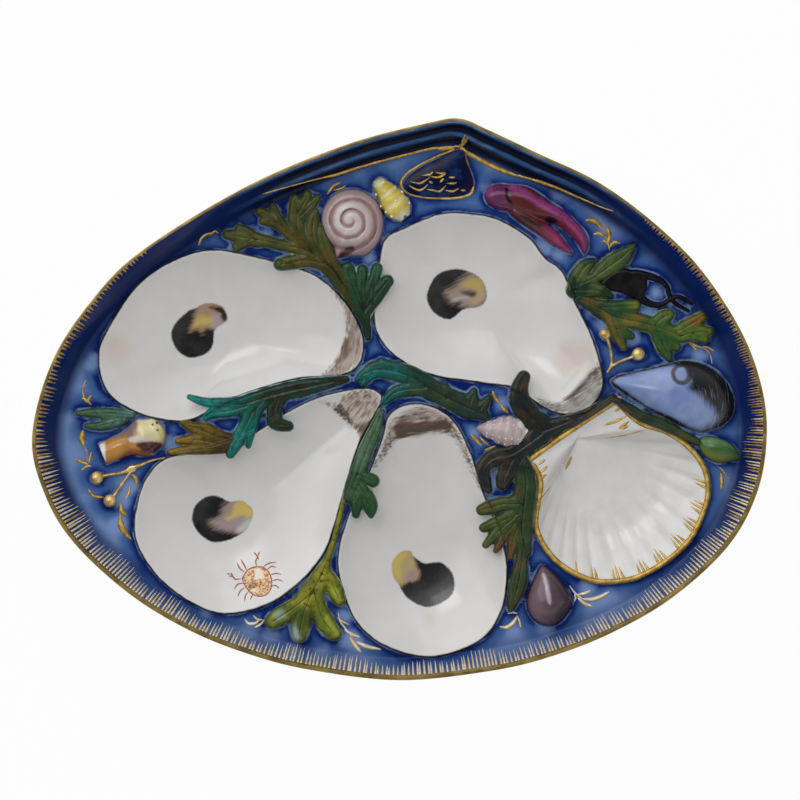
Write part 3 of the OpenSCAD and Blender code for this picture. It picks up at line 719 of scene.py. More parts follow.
    def gilt(self, gold: FiredGold) -> None:
        """Lay the gilt band on the edge, narrow along the hinge."""
        wide = self.gilt_reach()
        rows = [(0.0, 0.0), (0.03, 1.0), *((share, 1.0) for share in np.linspace(0.08, 0.96, 24)),
                (1.0, -0.5)]
        rings = []
        for share, lift in rows:
            ring = self.surface(wide * share)
            ring[:, 2] += self.gilt_thick * lift
            if share == 0.0:
                ring = raise_ring(grown(self.edge, 0.02 * MM), self.layout.rim - self.edge_round * 1.6)
            rings.append(ring)
        under = self.surface(wide * 0.5)
        under[:, 2] -= self.edge_round
        loft = Loft(rings[0]).through([*rings[1:], under]).close()
        add_piece("gilt_edge", loft.mesh, gold, "gilding", "gilt_rim")


@dataclass(frozen=True)
class BareClay(Finish):
    """The unglazed tread of the foot."""

    clay: str = "#dcd6ca"
    stain: str = "#b5a892"

    def colour(self, wire: Wiring) -> Socket:
        """Speckle the clay with a little wear."""
        return wire.mix(wire.ramp(wire.noise(1.2, 5.0), 0.45, 0.75), self.clay, self.stain)

    def relief(self, wire: Wiring) -> Socket:
        """Roughen the clay."""
        return wire.times(wire.noise(0.4), 0.08)


class Footprint:
    """What a piece of relief covers of the field."""

    far = 9.0 * MM

    def __init__(self, ring: np.ndarray | None = None, lobes: "Lobes | None" = None) -> None:
        """Cover an outline, or the lobes of a sprig."""
        self.ring = ring
        self.lobes = lobes

    def reach(self, points: np.ndarray) -> np.ndarray:
        """Give how far points lie outside it, up to a far limit."""
        low, high = self.lobes.box(0.0) if self.lobes else (self.ring.min(axis=0), self.ring.max(axis=0))
        close = np.all((points > low - self.far) & (points < high + self.far), axis=1)
        away = np.full(len(points), self.far)
        if self.lobes:
            away[close] = self.lobes.measure(points[close])[0]
        else:
            away[close] = outline_distance(points[close], self.ring)
        return away


@dataclass(frozen=True)
class WellGlaze(Finish):
    """White glaze in an oyster well, with its painted scar, hinge and lip."""

    hinge_bearing: float = 70.0
    smear_bearing: float = 20.0
    hinge_pale: str = "#b9aaa0"
    hinge_dark: str = "#4a3628"
    white: str = "#dad9d7"
    shade: str = "#cfcdcb"
    blush: str = "#d2bcac"
    lip: str = "#33261d"
    black: str = "#141416"
    soot: str = "#282628"
    drift: float = 0.02
    dimple: float = 0.03

    def colour(self, wire: Wiring) -> Socket:
        """Lay the lip line, the brushed hinge and the scar over the white."""
        fine = wire.noise(0.7, 3.0)
        ground = wire.mix(wire.ramp(wire.noise(30.0, 2.0), 0.4, 0.7, 0.0, 0.4), self.white, self.shade)
        ground = wire.mix(wire.ramp(wire.paint("blush"), 0.0, 5.0, 0.5, 0.0), ground, self.blush)
        strokes = wire.streaks(self.hinge_bearing, 5.0, 0.8)
        broad = wire.noise(2.5, 4.0)
        hinge = wire.mix(wire.ramp(strokes, 0.32, 0.68), self.hinge_dark, self.hinge_pale)
        hinge = wire.mix(wire.ramp(broad, 0.42, 0.7, 0.0, 0.75), hinge, self.hinge_pale)
        brushed = wire.frayed("hinge", strokes, 1.5)
        ground = wire.mix(wire.ramp(brushed, -1.2, 0.5, 0.9, 0.0), ground, hinge)
        dark = wire.frayed("hinge_dark", strokes, 1.3)
        ground = wire.mix(wire.ramp(dark, -0.9, 0.7, 0.95, 0.0), ground, self.hinge_dark)
        wiped = wire.streaks(self.smear_bearing, 4.0, 0.45)
        mark = wire.mix(wire.ramp(wire.noise(4.0), 0.35, 0.7), self.black, self.soot)
        mark = self.painted(wire, mark, wiped)
        scar = wire.frayed("scar", fine, 0.22)
        ground = wire.mix(wire.ramp(scar, -0.35, 0.3, 1.0, 0.0), ground, mark)
        rim = wire.frayed("lip", wire.noise(3.0), 0.25)
        line = wire.ramp(rim, 0.3, 0.7, 1.0, 0.0)
        return wire.mix(line, ground, self.lip)

    def relief(self, wire: Wiring) -> Socket:
        """Cut the hinge's brush strokes a little into the glaze."""
        strokes = wire.streaks(self.hinge_bearing, 5.0, 0.6)
        shown = wire.ramp(wire.paint("hinge"), -0.8, 0.2, 0.25, 0.0)
        return wire.times(strokes, shown)


@dataclass
class Well:
    """An oyster well: its outline, its hinge ledge and what is painted in it."""

    name: str
    layout: Layout
    outline_px: Spots
    middle_px: tuple[float, float]
    ledge_px: tuple[float, float, float]
    hinge_px: Spots
    dark_px: Spots
    scar_px: Spots
    marks: tuple[Patch, ...]
    blush_px: tuple[float, float, float]
    bearing: float
    smear_bearing: float
    hinge_tones: tuple[str, str]
    depth: float = 8.5 * MM
    floor_thick: float = 1.5 * MM
    lip_wide: float = 1.4 * MM
    lip_low: float = 0.2 * MM
    lip_far: float = 3.0
    blush_soft: float = 3.0
    wall_sunk: float = 0.5 * MM
    wall_low: float = 9.7 * MM
    foot_share: float = 0.62
    ledge_sunk: float = 1.8 * MM
    ledge_ramp: float = 3.5 * MM
    bowl_power: float = 2.8
    steps: int = 12
    rows: int = 72

    def __post_init__(self) -> None:
        """Lay out the outline."""
        self.ring = self.layout.ring(self.outline_px, self.steps)
        self.middle = self.layout.spots([self.middle_px])[0]

    def footprint(self) -> Footprint:
        """Give what it covers of the field."""
        return Footprint(ring=self.ring[::2])

    def bowl(self, inner: np.ndarray, share: float) -> np.ndarray:
        """Give the ring of the bowl at a share of the way out from its middle."""
        spots = self.middle + (inner - self.middle) * share
        fall = self.layout.lip - self.depth * (1 - share ** self.bowl_power)
        tip = self.layout.spots([self.ledge_px[:2]])[0] - self.middle
        along = (spots - self.middle) @ (tip / np.linalg.norm(tip))
        ledge = smooth((along - self.layout.span(self.ledge_px[2])) / self.ledge_ramp)
        return raise_ring(spots, fall + ledge * np.maximum(0, self.layout.lip - self.ledge_sunk - fall))

    def shell(self) -> Loft:
        """Loft the outside and the rounded lip."""
        low = self.layout.lip - self.depth - self.floor_thick
        foot = self.middle + (self.ring - self.middle) * self.foot_share
        loft = Loft(raise_ring(foot, low), lip=0.0).cap_first()
        for height in (self.wall_low, self.layout.floor - self.wall_sunk):
            loft.to(raise_ring(grown(self.ring, -SEAT_GAP), height), lip=0.0)
        loft.to(raise_ring(self.ring, self.layout.floor + self.lip_low), lip=0.0)
        for reach, ring in lip_rings(self.layout, self.ring, self.lip_wide, 0.5):
            loft.to(ring, lip=reach / MM)
        return loft

    def build(self) -> Piece:
        """Make the well and paint it."""
        loft = self.shell()
        inner = grown(self.ring, -self.lip_wide / 2)
        for share in np.linspace(1, 0, self.rows)[1:-1]:
            loft.to(self.bowl(inner, share), lip=self.lip_far)
        loft.gather(self.bowl(inner[:1], 0.0)[0], lip=self.lip_far)
        pale, dark = self.hinge_tones
        glaze = WellGlaze("well_glaze_" + self.name, patches=self.marks, hinge_bearing=self.bearing,
                          smear_bearing=self.smear_bearing, hinge_pale=pale, hinge_dark=dark)
        piece = add_piece("shell_well_" + self.name, loft.mesh, glaze, "white_glaze",
                          "oyster_well_" + self.name)
        self.dress(piece, glaze)
        return piece

    def dress(self, piece: Piece, glaze: WellGlaze) -> None:
        """Keep the distances that the painted work is drawn by."""
        spots = corners(piece)[:, :2]
        for name, outline in (("hinge", self.hinge_px), ("hinge_dark", self.dark_px), ("scar", self.scar_px)):
            paint(piece, name, self.layout.outside(spots, outline))
        x, y, size = self.blush_px
        away = np.linalg.norm(spots - self.layout.spots([(x, y)]), axis=1)
        paint(piece, "blush", (away - self.layout.span(size)) / MM + self.blush_soft)
        glaze.keep(piece, self.layout)


OYSTER_WELLS = (
    {"name": "upper_left", "middle_px": (235, 335), "ledge_px": (364, 338, 108), "bearing": 80.0,
     "smear_bearing": 15.0, "hinge_tones": ("#a89488", "#63503f"),
     "outline_px": (
         (364, 340), (356, 318), (340, 295), (310, 272), (256, 256), (210, 249), (170, 261), (136, 285),
         (109, 324), (97, 355), (104, 389), (127, 409), (160, 420), (192, 420), (230, 400), (293, 380),
         (340, 376), (360, 364)),
     "hinge_px": ((318, 277), (339, 291), (357, 318), (364, 340), (360, 362), (342, 376), (318, 379),
                  (330, 366), (342, 347), (346, 333), (341, 306), (330, 288)),
     "dark_px": ((344, 338), (350, 340), (349, 352), (343, 362), (334, 368), (340, 355)),
     "scar_px": (
         (196, 307), (190, 309), (183, 314), (174, 323), (170, 333), (172, 343), (177, 351), (186, 357),
         (196, 357), (207, 352), (212, 344), (213, 333), (215, 328), (221, 324), (226, 320), (226, 314),
         (221, 306), (212, 303), (204, 303), (199, 305)),
     "marks": (
         Patch("smear", (
             (197, 306), (193, 314), (192, 320), (189, 327), (189, 332), (196, 329), (201, 333), (205, 328),
             (212, 328), (219, 326), (227, 321), (228, 312), (221, 304), (211, 301), (203, 301)),
               "#a3876c", 1.1, 1.3),
         Patch("mauve", ((212, 314), (219, 315), (222, 321), (219, 326), (212, 328), (209, 322)), "#a99899",
               1.2, 0.8),
         Patch("yellow", ((196, 317), (203, 315), (211, 318), (212, 322), (206, 325), (198, 325), (193, 327),
                          (194, 321)), "#bfab60", 1.0, 0.9),
         Patch("hook", ((208, 307), (215, 306), (221, 307), (226, 313), (226, 320), (221, 320), (220, 314),
                        (215, 310)), "#2b2420", 0.6, 0.8)),
     "blush_px": (115, 350, 16)},
    {"name": "upper_right", "middle_px": (482, 305), "ledge_px": (590, 398, 112), "bearing": 35.0,
     "smear_bearing": 25.0, "hinge_tones": ("#8f8f86", "#5d4a3f"),
     "outline_px": (
         (604, 376), (594, 339), (577, 303), (564, 272), (546, 257), (530, 237), (500, 219), (474, 213),
         (440, 213), (400, 229), (386, 237), (380, 253), (373, 312), (379, 338), (397, 358), (430, 375),
         (480, 383), (515, 389), (539, 405), (562, 415), (587, 410), (601, 395)),
     "hinge_px": ((602, 358), (605, 376), (602, 394), (588, 410), (562, 415), (541, 407), (535, 396),
                  (550, 401), (566, 401), (578, 393), (588, 381), (596, 368)),
     "dark_px": (
         (600, 368), (596, 376), (586, 388), (574, 398), (564, 400), (572, 392), (584, 380), (594, 368)),
     "scar_px": (
         (427, 294), (432, 281), (439, 273), (450, 269), (461, 268.6), (472, 272), (479, 276), (484, 282),
         (487, 290), (487, 298), (483, 304.5), (477, 307), (468, 308), (461, 311), (455, 316.5), (449, 319),
         (441, 317), (433, 311), (428, 302)),
     "marks": (
         Patch("smear", (
             (473, 271), (462, 279), (453, 287), (446, 291), (448, 297), (452, 302), (459, 300), (463, 306),
             (478, 308), (488, 299), (489, 289), (485, 280), (479, 274)), "#9c8c80", 1.7, 1.5),
         Patch("tan", ((462, 283), (472, 279), (481, 282), (485, 290), (484, 298), (476, 303), (470, 300),
                       (477, 294), (473, 288), (464, 288)), "#b39a72", 1.4, 1.0),
         Patch("yellow", ((470, 280), (478, 279), (483, 284), (479, 289), (471, 287), (464, 286)),
               "#b8a356", 1.2, 0.8),
         Patch("hook", ((461, 291), (470, 290), (476, 292), (474, 296), (466, 295)), "#4a3f32", 0.9, 0.8),
         Patch("wisp", ((452, 299), (458, 296), (466, 295.5), (470, 297.5), (462, 298.5), (456, 301)),
               "#a9a7a0", 0.6, 0.6)),
     "blush_px": (575, 358, 20)},
    {"name": "front", "middle_px": (424, 540), "ledge_px": (414, 403, 103), "bearing": 12.0,
     "smear_bearing": 70.0, "hinge_tones": ("#b9a99f", "#4d3828"),
     "outline_px": (
         (412, 403), (389, 414), (381, 440), (366, 478), (345, 523), (337, 565), (349, 610), (368, 636),
         (397, 652), (431, 658), (464, 650), (489, 634), (504, 606), (508, 567), (500, 532), (484, 492),
         (472, 454), (457, 424), (438, 408)),
     "hinge_px": (
         (399, 414), (412, 407), (430, 407), (446, 414), (457, 426), (470, 455), (482, 489), (485, 499),
         (477, 484), (466, 462), (455, 440), (446, 434), (436, 433), (414, 437), (398, 441), (387, 454),
         (377, 466), (369, 473), (374, 462), (384, 440), (391, 421)),
     "dark_px": (
         (394, 424), (404, 419), (424, 422), (448, 420), (453, 430), (438, 432), (414, 435), (396, 439)),
     "scar_px": (
         (413, 556), (419, 561), (425, 564), (434, 563), (441, 563), (447, 567), (453, 575), (455, 587),
         (451, 597), (439, 605), (428, 608), (417, 605), (407, 598.5), (402, 592), (399, 586), (394, 579),
         (392, 572), (392, 563), (396, 557), (400, 553), (406, 551), (411, 552)),
     "marks": (
         Patch("smear", (
             (399, 551), (406, 549), (412, 551), (413.5, 557), (416.5, 565), (419, 574), (417, 580),
             (408.6, 582.5), (399, 587), (392, 580), (390, 572), (390, 562), (395, 555)), "#b39f70",
               0.9, 1.1),
         Patch("mauve", ((409, 572), (416, 570), (418, 577), (415, 581), (408, 582), (404, 580)), "#a2858a",
               1.1, 0.8),
         Patch("yellow", ((393, 560), (398, 554), (404, 552), (408, 554), (403, 560), (400, 568),
                          (401, 578), (397, 579), (393, 572)), "#c6b060", 1.1, 0.8)),
     "blush_px": (430, 620, 6)},
    {"name": "lower_left", "middle_px": (238, 515), "ledge_px": (382, 396, 140), "bearing": 52.0,
     "smear_bearing": 32.0, "hinge_tones": ("#c2b3a6", "#574231"),
     "outline_px": (
         (382, 402), (360, 443), (346, 487), (334, 529), (323, 556), (300, 583), (268, 605), (227, 615),
         (195, 606), (161, 582), (138, 550), (133, 520), (143, 482), (163, 459), (200, 450), (250, 434),
         (286, 412), (320, 396), (358, 388), (376, 390)),
     "hinge_px": ((345, 394), (360, 389), (376, 391), (382, 402), (374, 420), (365, 443), (356, 431),
                  (343, 419), (328, 406), (318, 402), (334, 402)),
     "dark_px": ((340, 404), (334, 410), (345, 420), (356, 430), (364, 441), (374, 420), (368, 420),
                 (356, 424), (346, 412)),
     "scar_px": (
         (210, 496), (218, 497), (229, 502), (240, 501), (247, 505), (252, 511), (251, 520), (245, 531),
         (236, 537), (227, 541), (215, 543), (207, 541), (197, 533), (191.5, 523), (191, 516), (194, 506),
         (202, 499)),
     "marks": (
         Patch("smear", ((229, 501), (240, 499), (248, 503), (254, 511), (252, 521), (247, 532), (239, 534),
                         (227, 532), (213, 528), (208, 521), (218, 517), (222, 508)), "#a08d84", 1.5, 1.6),
         Patch("mauve",
               ((214, 523), (224, 521), (236, 519), (245, 519), (242, 527), (234, 529), (222, 528)),
               "#9d8f97", 1.1, 1.0),
         Patch("pale", ((240, 525), (247, 519), (251, 520), (247, 530), (239, 534), (236, 531)), "#bdbdb9",
               1.2, 0.9),
         Patch("yellow", ((233, 505), (240, 501), (247, 505), (252, 512), (249, 518), (242, 516),
                          (235, 518), (228, 521), (224, 519), (230, 515)), "#cbb466", 0.9, 0.9)),
     "blush_px": (215, 535, 6)},
)


@dataclass(frozen=True)
class ScallopGlaze(Finish):
    """White glaze in the scallop, with a warm painted shade in its grooves."""

    white: str = "#dddcda"
    groove: str = "#d0cfcd"

    def colour(self, wire: Wiring) -> Socket:
        """Paint shade in the grooves between the ribs."""
        rib = wire.frayed("rib", wire.noise(6.0), 0.3)
        return wire.mix(wire.ramp(rib, -1.1, 0.1), self.groove, self.white)


@dataclass
class Scallop:
    """The fluted sauce well: ribs that fan from its hinge, and a flat ear on each side."""

    layout: Layout
    outline_px: Spots = (
        (646, 423), (634, 415), (622, 404), (613, 401), (528, 459), (533, 468), (539, 482), (537, 500),
        (534, 522), (539, 540), (551, 558), (565, 570), (582, 579), (601, 584), (629, 582), (650, 574),
        (672, 560), (692, 541), (705, 516), (711, 492), (707, 468), (693, 448), (670, 431))
    middle_px: tuple[float, float] = (622, 495)
    fan_px: tuple[float, float] = (578, 438.5)
    ear_lead: float = 2.0
    ear_from: float = 2.2
    ear_to: float = 7.6
    depth: float = 6.5 * MM
    floor_thick: float = 1.5 * MM
    lip_wide: float = 1.2 * MM
    rib_high: float = 0.14 * MM
    wall_sunk: float = 0.5 * MM
    wall_low: float = 9.1 * MM
    soften: int = 12
    foot_share: float = 0.62
    steps: int = 14
    rows: int = 40
    ear_fall: Spots = ((0.0, 0.2), (0.5, 0.12), (0.9, 0.04), (1.0, 0.0))
    bowl_fall: Spots = (
        (0.0, 0.2), (0.12, 0.46), (0.3, 0.82), (0.5, 1.0), (0.7, 0.88), (0.85, 0.56), (0.94, 0.25),
        (1.0, 0.0))

    def __post_init__(self) -> None:
        """Lay out the outline, with each sample's place among the outline's points."""
        self.ring = self.layout.ring(self.outline_px, self.steps)
        self.middle = self.layout.spots([self.middle_px])[0]
        self.place = np.arange(len(self.ring)) / self.steps
        self.bowl_share = self.bowl_weight(self.place)

    def bowl_weight(self, place: np.ndarray) -> np.ndarray:
        """Give 0 on the ears and 1 along the fluted stretch."""
        count = len(self.outline_px)
        ahead = np.where(place < count / 2, place, place - count)
        rise = smooth((ahead + self.ear_lead) / self.ear_from)
        return 1 - rise * smooth((self.ear_to - ahead) / self.ear_from)

    def footprint(self) -> Footprint:
        """Give what it covers of the field."""
        return Footprint(ring=self.ring[::3])

    def build(self) -> Piece:
        """Make the scallop: its outside, its lip, and the fluted bowl."""
        lay = self.layout
        fan = lay.spots([self.fan_px])[0]
        low = lay.lip - self.depth - self.floor_thick
        foot = self.middle + (self.ring - self.middle) * self.foot_share
        loft = Loft(raise_ring(foot, low), rib=1.0).cap_first()
        for height in (self.wall_low, lay.floor - self.wall_sunk):
            loft.to(raise_ring(grown(self.ring, -SEAT_GAP), height), rib=1.0)
        for reach, ring in lip_rings(lay, self.ring, self.lip_wide, 0.9):
            loft.to(ring, rib=1.0)
        inner = grown(self.ring, -self.lip_wide)
        wave = np.cos(TURN * self.place) * self.bowl_share
        for share in np.linspace(1, 0, self.rows)[1:-1]:
            ear = np.interp(share, *np.transpose(self.ear_fall))
            bowl = float(np.interp(share, *np.transpose(self.bowl_fall)))
            fall = ear + (bowl - ear) * self.bowl_share
            ribs = wave * float(smooth((share - 0.4) / 0.5)) * float(smooth((1 - share) / 0.04))
            height = lay.lip - self.depth * fall + ribs * self.rib_high
            loft.to(raise_ring(fan + (inner - fan) * share, height), rib=ribs)
        loft.gather((*fan, lay.lip - self.depth * self.ear_fall[0][1]), rib=0.0)
        soft = [v for v in loft.mesh.verts if low + 0.1 * MM < v.co.z < lay.lip - 0.5 * MM]
        for turn in range(self.soften):
            bmesh.ops.smooth_vert(loft.mesh, verts=soft, factor=0.5, use_axis_z=True)
        glaze = ScallopGlaze("scallop_glaze", drift=0.05)
        return add_piece("scallop_shell_well", loft.mesh, glaze, "white_glaze", "scallop_well")


class Lobes:
    """Lobes of a sprig, each a run of places with half widths and a tone, that melt into one another."""

    blend, far_share = 0.3, 9.0

    def __init__(self, layout: Layout, runs_px: Sequence[Spots], melt: float = 0.0, steps: int = 5) -> None:
        """Smooth each run and turn it into metres; a run without tones goes from 0 to 1."""
        self.melt = melt
        self.paths = []
        for run in runs_px:
            samples = curve(run, steps, False)
            tone = samples[:, 3] if samples.shape[1] > 3 else np.linspace(0, 1, len(samples))
            self.paths.append(np.column_stack([layout.spots(samples), layout.span(samples[:, 2]), tone]))

    def box(self, room: float) -> tuple[np.ndarray, np.ndarray]:
        """Give the corners of the box round the lobes, with some room."""
        every = np.vstack(self.paths)
        reach = every[:, 2:3] + room
        return (every[:, :2] - reach).min(axis=0), (every[:, :2] + reach).max(axis=0)

    def measure(self, points: np.ndarray) -> tuple[np.ndarray, np.ndarray, np.ndarray]:
        """Measure places against the lobes.

        Args:
            points: Places seen from above, one row each.

        Returns:
            How far each lies outside, its share of the way from a lobe's middle to its edge, and its tone.
        """
        outside = np.full(len(points), 1.0)
        across = np.full(len(points), np.inf)
        tone = np.zeros(len(points))
        for path in self.paths:
            lobe = np.full(len(points), 1.0)
            near = np.full(len(points), np.inf)
            here = np.zeros(len(points))
            for start, line in zip(path[:-1], np.diff(path, axis=0)):
                share = np.clip(((points - start[:2]) @ line[:2]) / max(line[:2] @ line[:2], TINY), 0, 1)
                away = np.linalg.norm(points - start[:2] - share[:, None] * line[:2], axis=1)
                wide = start[2] + share * line[2]
                lobe = np.minimum(lobe, away - wide)
                here = np.where(away / wide < near, start[3] + share * line[3], here)
                near = np.minimum(near, away / wide)
            share = np.clip(0.5 + (np.minimum(across, self.far_share) - near) / (2 * self.blend), 0, 1)
            tone = tone + (here - tone) * share
            across = np.minimum(across, self.far_share)
            across = across + (near - across) * share - self.blend * share * (1 - share)
            if self.melt:
                share = np.clip(0.5 + (outside - lobe) / (2 * self.melt), 0, 1)
                outside = outside + (lobe - outside) * share - self.melt * share * (1 - share)
            else:
                outside = np.minimum(outside, lobe)
        return outside, across, tone


@dataclass
class Ground:
    """What relief lies on: the level field, and the lips of the wells."""

    layout: Layout
    rings: Sequence[np.ndarray]
    ease: float = 0.7 * MM

    def under(self, points: np.ndarray) -> np.ndarray:
        """Give the height of the ground under places."""
        near = np.full(len(points), 1.0)
        for ring in self.rings:
            low, high = ring.min(axis=0) - self.ease, ring.max(axis=0) + self.ease
            close = np.all((points > low) & (points < high), axis=1)
            near[close] = np.minimum(near[close], outline_distance(points[close], ring))
        return self.layout.floor + (self.layout.lip - self.layout.floor) * smooth(1 - near / self.ease)


@dataclass(frozen=True)
class LeafGlaze(Finish):
    """Painted weed: a thin dark rib, tones from the root to the tip, painted shade and a pale line at the
    edge.
    """

    root: str = "#2c331b"
    body: str = "#47521f"
    tip: str = "#4a6232"
    accent: str = "#5c4a1e"
    pale: str = "#8b9468"
    rib: str = "#22180c"
    shade: str = "#22382a"
    mottle: str = "#1f2e1c"
    mottle_share: float = 0.5
    outline: str = "#0c1630"
    drift: float = 0.3
    shine: float = 0.18
    coat: float = 0.05

    def colour(self, wire: Wiring) -> Socket:
        """Shade by tone, paint shade toward the edge, and a pale edge line: thin glaze and painted highlight.
        """
        cloud = wire.noise(2.6, 5.0)
        broad = wire.noise(6.0, 3.0)
        raw = wire.paint("across")
        across = wire.stirred(raw, cloud, 0.2)
        tone = wire.frayed("tone", broad, 0.3)
        leaf = wire.mix(wire.ramp(tone, 0.05, 0.5), self.root, self.body)
        leaf = wire.mix(wire.ramp(tone, 0.5, 1.0), leaf, self.tip)
        leaf = wire.mix(wire.ramp(tone, 1.1, 1.4), leaf, self.accent)
        leaf = wire.mix(wire.ramp(broad, 0.46, 0.66, 0.0, 0.6), leaf, self.accent)
        leaf = wire.mix(wire.ramp(wire.noise(1.5, 4.0), 0.5, 0.68, 0.0, self.mottle_share), leaf, self.mottle)
        leaf = self.painted(wire, leaf, cloud)
        # Painted shade: darker and bluer toward the lobe's edge.
        leaf = wire.mix(wire.ramp(across, 0.35, 0.9, 0.0, 0.6), leaf, self.shade)
        leaf = wire.mix(wire.ramp(wire.stirred(raw, cloud, 0.06), 0.0, 0.1, 0.75, 0.0), leaf, self.rib)
        # Pale broken line along the edge: partly glaze breaking thin, partly painted highlight.
        thin = wire.times(wire.ramp(across, 0.82, 0.98), wire.ramp(across, 1.02, 1.14, 1.0, 0.0))
        worn = wire.times(thin, wire.ramp(wire.noise(4.5, 3.0), 0.38, 0.58, 0.0, 0.8))
        leaf = wire.mix(worn, leaf, self.pale)
        return wire.mix(wire.ramp(across, 1.05, 1.2, 0.0, 0.85), leaf, self.outline)

    def relief(self, wire: Wiring) -> Socket:
        """Ripple the leaf."""
        return wire.times(wire.noise(1.8, 3.0), 0.2)


@dataclass
class Sprig:
    """A sprig in relief: its lobes stand up from the ground as one leaf with rounded edges."""

    name: str
    node: str
    slot: str
    layout: Layout
    ground: Ground
    runs_px: Sequence[Spots]
    finish: Finish
    tall: float = 2.2 * MM
    hem: float = 0.25 * MM
    shoulder: float = 1.5 * MM
    flat_share: float = 0.78
    rib_deep: float = 0.18 * MM
    melt: float = 0.8 * MM
    grain: float = 0.27 * MM
    rib_wide: float = 0.14
    settle_step: float = 0.2
    settle_turns: int = 3
    sunk: float = 0.5 * MM

    def __post_init__(self) -> None:
        """Lay out the lobes."""
        self.lobes = Lobes(self.layout, self.runs_px, self.melt)

    def footprint(self) -> "Footprint":
        """Give what it covers of the field."""
        return Footprint(lobes=self.lobes)

    def height(self, points: np.ndarray) -> np.ndarray:
        """Give the leaf's height: rounded at the edge, pillowed along each lobe, with its rib pressed in."""
        outside, across = self.lobes.measure(points)[:2]
        inside = np.clip(-outside / self.shoulder, 0, 1)
        top = np.sqrt(1 - (1 - inside) ** 2)
        pillow = np.sqrt(np.clip(1 - across ** 2, 0, 1))
        share = top * (self.flat_share + (1 - self.flat_share) * pillow)
        rib = self.rib_deep * top * np.exp(-(across / self.rib_wide) ** 2)
        return self.ground.under(points) + self.hem + (self.tall - self.hem) * share - rib

    def settle(self, points: np.ndarray) -> np.ndarray:
        """Bring places that lie outside the lobes on to their edge."""
        step = self.grain * self.settle_step
        for turn in range(self.settle_turns):
            outside = self.lobes.measure(points)[0]
            slope = [(self.lobes.measure(points + way)[0] - self.lobes.measure(points - way)[0]) / (2 * step)
                     for way in np.eye(2) * step]
            steep = np.maximum(slope[0] ** 2 + slope[1] ** 2, 0.1)
            points = points - np.column_stack(slope) * (np.maximum(outside, 0) / steep)[:, None]
        return points

    def shape(self) -> Shape:
        """Cut the lobes from a fine sheet, raise it, and turn its edge down."""
        low, high = self.lobes.box(2 * self.grain)
        count = np.ceil((high - low) / self.grain).astype(int)
        mesh = bmesh.new()
        bmesh.ops.create_grid(mesh, x_segments=int(count[0]), y_segments=int(count[1]), size=0.5)
        bmesh.ops.scale(mesh, verts=mesh.verts, vec=(*(high - low), 1))
        bmesh.ops.translate(mesh, verts=mesh.verts, vec=(*((low + high) / 2), 0))
        outside = self.lobes.measure(np.array([v.co[:2] for v in mesh.verts]))[0]
        mesh.verts.index_update()
        lost = [f for f in mesh.faces if min(outside[v.index] for v in f.verts) > 0]
        bmesh.ops.delete(mesh, geom=lost, context="FACES")
        pinched = [None]
        while pinched:
            pinched = [v for v in mesh.verts if sum(e.is_boundary for e in v.link_edges) > 2]
            bmesh.ops.delete(mesh, geom=pinched, context="VERTS")
        brim = [v for v in mesh.verts if v.is_boundary]
        for vert, spot in zip(brim, self.settle(np.array([v.co[:2] for v in brim]))):
            vert.co = (*spot, 0.0)
        spots = np.array([v.co[:2] for v in mesh.verts])
        for vert, z in zip(mesh.verts, self.height(spots)):
            vert.co.z = z
        made = bmesh.ops.extrude_edge_only(mesh, edges=[e for e in mesh.edges if e.is_boundary])["geom"]
        bmesh.ops.translate(mesh, verts=[item for item in made if isinstance(item, bmesh.types.BMVert)],
                            vec=(0, 0, -self.hem - self.sunk))
        bmesh.ops.holes_fill(mesh, edges=[e for e in mesh.edges if e.is_boundary])
        return mesh

    def build(self) -> Piece:
        """Make the sprig and keep where each spot lies on its leaves."""
        piece = add_piece(self.name, self.shape(), self.finish, self.slot, self.node)
        self.finish.keep(piece, self.layout)
        across, tone = self.lobes.measure(corners(piece)[:, :2])[1:]
        paint(piece, "across", across)
        paint(piece, "tone", tone)
        return piece


# Front weed: pale blue-grey painted highlights at the tips of the left and middle lobes, a darker green on
# the middle lobe, and yellow-green patches on the right lobes.
FRONT_PATCHES = (
    Patch("tip_highlight", ((291, 631), (297, 625), (300, 633), (298, 643), (292, 640)), "#8fa6a4", 1.2, 1.6),
    Patch("pale_tip_highlight", ((275, 612), (283, 611), (285, 617), (277, 620)), "#8a9f86", 1.0, 1.4),
    Patch("hollow", ((296, 612), (304, 609), (306, 622), (302, 634), (296, 626)), "#44561f", 1.0, 1.6),
    Patch("lit", ((325, 615), (334, 621), (341, 633), (335, 636), (328, 627)), "#8f9a34", 1.2, 1.6),
    Patch("glow", ((329, 583), (335, 587), (339, 597), (334, 598), (330, 591)), "#93982f", 1.0, 1.4))

